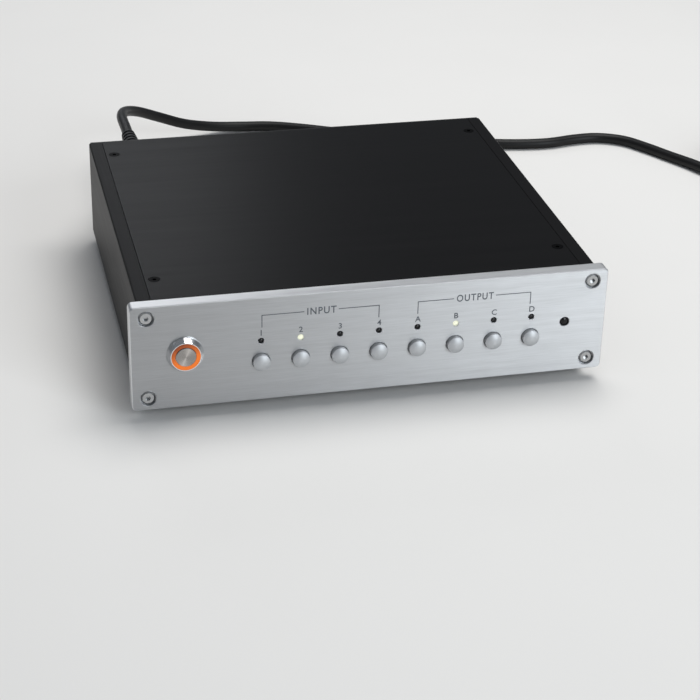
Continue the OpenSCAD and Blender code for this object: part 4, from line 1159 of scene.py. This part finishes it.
    def build_group(self, group: Group) -> list[bpy.types.Object]:
        """Print the word, bracket and figures of one group of buttons.

        Args:
            group: the group.

        Returns:
            Its prints.
        """
        places = [middle(f"{group.name}_button_{sign}").x for sign in group.signs]
        centre = (places[0] + places[-1]) / 2 + group.word_shift
        ends = self.bracket_lines(places[0] + group.left_shift, places[-1] + group.right_shift,
                                  centre - group.width / 2, centre + group.width / 2)
        made = [self.word(f"legend_{group.name}", group.name.upper(), Face.FRONT, centre,
                          self.bracket, self.word_cap, group.width),
                self.lines(f"legend_{group.name}_bracket", ends, Face.FRONT)]
        for sign, place in zip(group.signs, places):
            made.append(self.word(f"legend_{group.name}_{sign}", sign.upper(), Face.FRONT, place,
                                  self.figure, self.figure_cap))
        return made

    def build_rear(self) -> list[bpy.types.Object]:
        """Print the rear panel's legends.

        Returns:
            The prints.
        """
        left_row = middle("left_jack_shells")
        right_row = middle("right_jack_shells")
        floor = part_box("front_panel")[0].z
        low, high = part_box("left_jack_shells")
        gaps = len(self.rear_signs) - 1
        pitch = (high.x - low.x - (high.z - low.z)) / gaps
        first = left_row.x + gaps / 2 * pitch
        made = [self.word(f"rear_legend_{sign.lower()}", sign, Face.REAR, first - k * pitch,
                          self.rear_figure, self.rear_figure_cap)
                for k, sign in enumerate(self.rear_signs)]
        made += [self.word(f"rear_legend_{word}", word.upper(), Face.REAR, first - jacks * pitch,
                           self.rear_word, self.rear_word_cap, width)
                 for word, jacks, width in self.rear_words]
        made += [self.word(f"rear_legend_row_{sign.lower()}", sign, Face.REAR,
                           first + self.row_out, row.z - floor, self.row_cap)
                 for sign, row in (("L", left_row), ("R", right_row))]
        made.append(self.word("rear_legend_ac", "AC", Face.REAR, middle("inlet_body").x,
                              self.supply, self.rear_word_cap))
        return [*made, self.divider(left_row.x)]

    def divider(self, x: float) -> bpy.types.Object:
        """Print the dotted line between outputs and inputs.

        Args:
            x: its place across the panel.

        Returns:
            The print.
        """
        recipe = Recipe("dots", {"Count": "NodeSocketInt", "Radius": "NodeSocketFloat",
                                 "Depth": "NodeSocketFloat", "Step": "NodeSocketVector"})
        row = recipe.node("GeometryNodeMeshLine", {}, {
            "Count": recipe.take("Count"), "Offset": recipe.take("Step")})
        dot = recipe.node("GeometryNodeMeshCylinder", {}, {
            "Vertices": self.dot_sides, "Radius": recipe.take("Radius"),
            "Depth": recipe.take("Depth")})
        recipe.end(recipe.node("GeometryNodeInstanceOnPoints", {}, {
            "Points": row, "Instance": dot}))
        low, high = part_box("rear_panel")
        count = int((high.z - low.z - self.dot_pitch) / self.dot_pitch)
        piece = recipe.make("rear_legend_divider", {
            "Count": count, "Radius": self.dot_radius, "Depth": self.depth,
            "Step": (0.0, self.dot_pitch, 0.0), "Material": self.rear_ink})
        start = (high.z - low.z - self.dot_pitch * (count - 1)) / 2
        height = low.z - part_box("front_panel")[0].z + start
        piece.data.transform(Face.REAR.print_plane(x, height))
        return piece


@dataclass
class RearSockets:
    """Phono jacks and the mains inlet with its fuse drawer."""

    gold: Colour = (0.85, 0.655, 0.29)
    white: Colour = (0.80, 0.80, 0.77)
    red: Colour = (0.50, 0.012, 0.014)
    black: Colour = (0.014, 0.014, 0.015)
    glass: Colour = (0.60, 0.63, 0.64)
    grain: float = 2000.0
    grain_depth: float = 0.006 * MM

    def dress(self) -> None:
        """Finish the jacks and the inlet."""
        dress(Plated("jack_gold", self.gold, 0.16),
              "left_jack_shells", "right_jack_shells", "jack_contacts", "jack_nuts")
        dress(Moulded("jack_white", self.white, 0.36, self.grain, self.grain_depth, mottle=0.04),
              "left_jack_washers", "left_jack_insulators")
        dress(Moulded("jack_red", self.red, 0.34, self.grain, self.grain_depth, mottle=0.08),
              "right_jack_washers", "right_jack_insulators")
        dress(Moulded("inlet_black", self.black, 0.42, grain=2400.0, depth=0.015 * MM),
              "inlet_body", "fuse_drawer")
        dress(Plated("inlet_nickel", NICKEL, 0.24), "inlet_pins")
        dress(Moulded("fuse_glass", self.glass, 0.12, grain=500.0, depth=0.001 * MM), "fuse")


@dataclass
class Inside:
    """Boards and parts inside the closed case."""

    mask: Colour = (0.012, 0.09, 0.035)
    black: Colour = (0.02, 0.02, 0.021)
    potting: Colour = (0.03, 0.045, 0.11)
    sleeve: Colour = (0.02, 0.035, 0.10)
    ribbon: Colour = (0.36, 0.36, 0.36)
    brown: Colour = (0.12, 0.05, 0.02)

    def dress(self) -> None:
        """Finish the inner pieces."""
        dress(Moulded("board_mask", self.mask, 0.35, grain=500.0, depth=0.02 * MM, mottle=0.2),
              "control_board", "relay_board", "power_board")
        dress(Moulded("part_black", self.black, 0.45, grain=2000.0, depth=0.01 * MM),
              "tact_switches", "ir_receiver", "relays")
        dress(Plated("part_steel", STEEL, 0.3), "standoffs", "board_screws")
        dress(Moulded("coil_potting", self.potting, 0.4, grain=1200.0, depth=0.02 * MM),
              "transformer")
        dress(Moulded("capacitor_sleeve", self.sleeve, 0.3, grain=900.0, depth=0.01 * MM),
              "capacitors")
        dress(Moulded("ribbon_grey", self.ribbon, 0.5, grain=1600.0, depth=0.02 * MM),
              "ribbon_cable")
        dress(Moulded("wire_brown", self.brown, 0.4, grain=1800.0, depth=0.01 * MM),
              "mains_wires")


def main() -> None:
    """Build the studio and every sub-assembly, and report the pieces."""
    logging.basicConfig(level=logging.INFO, format="%(message)s")
    Studio().build()
    lead = MainsLead()
    pieces = [lead.build_tie(), lead.build()]
    lead.dress()
    Case().dress()
    FrontControls().dress()
    pieces += Legends().build()
    RearSockets().dress()
    Inside().dress()
    for piece in pieces:
        report(piece)


if __name__ == "__main__":
    main()
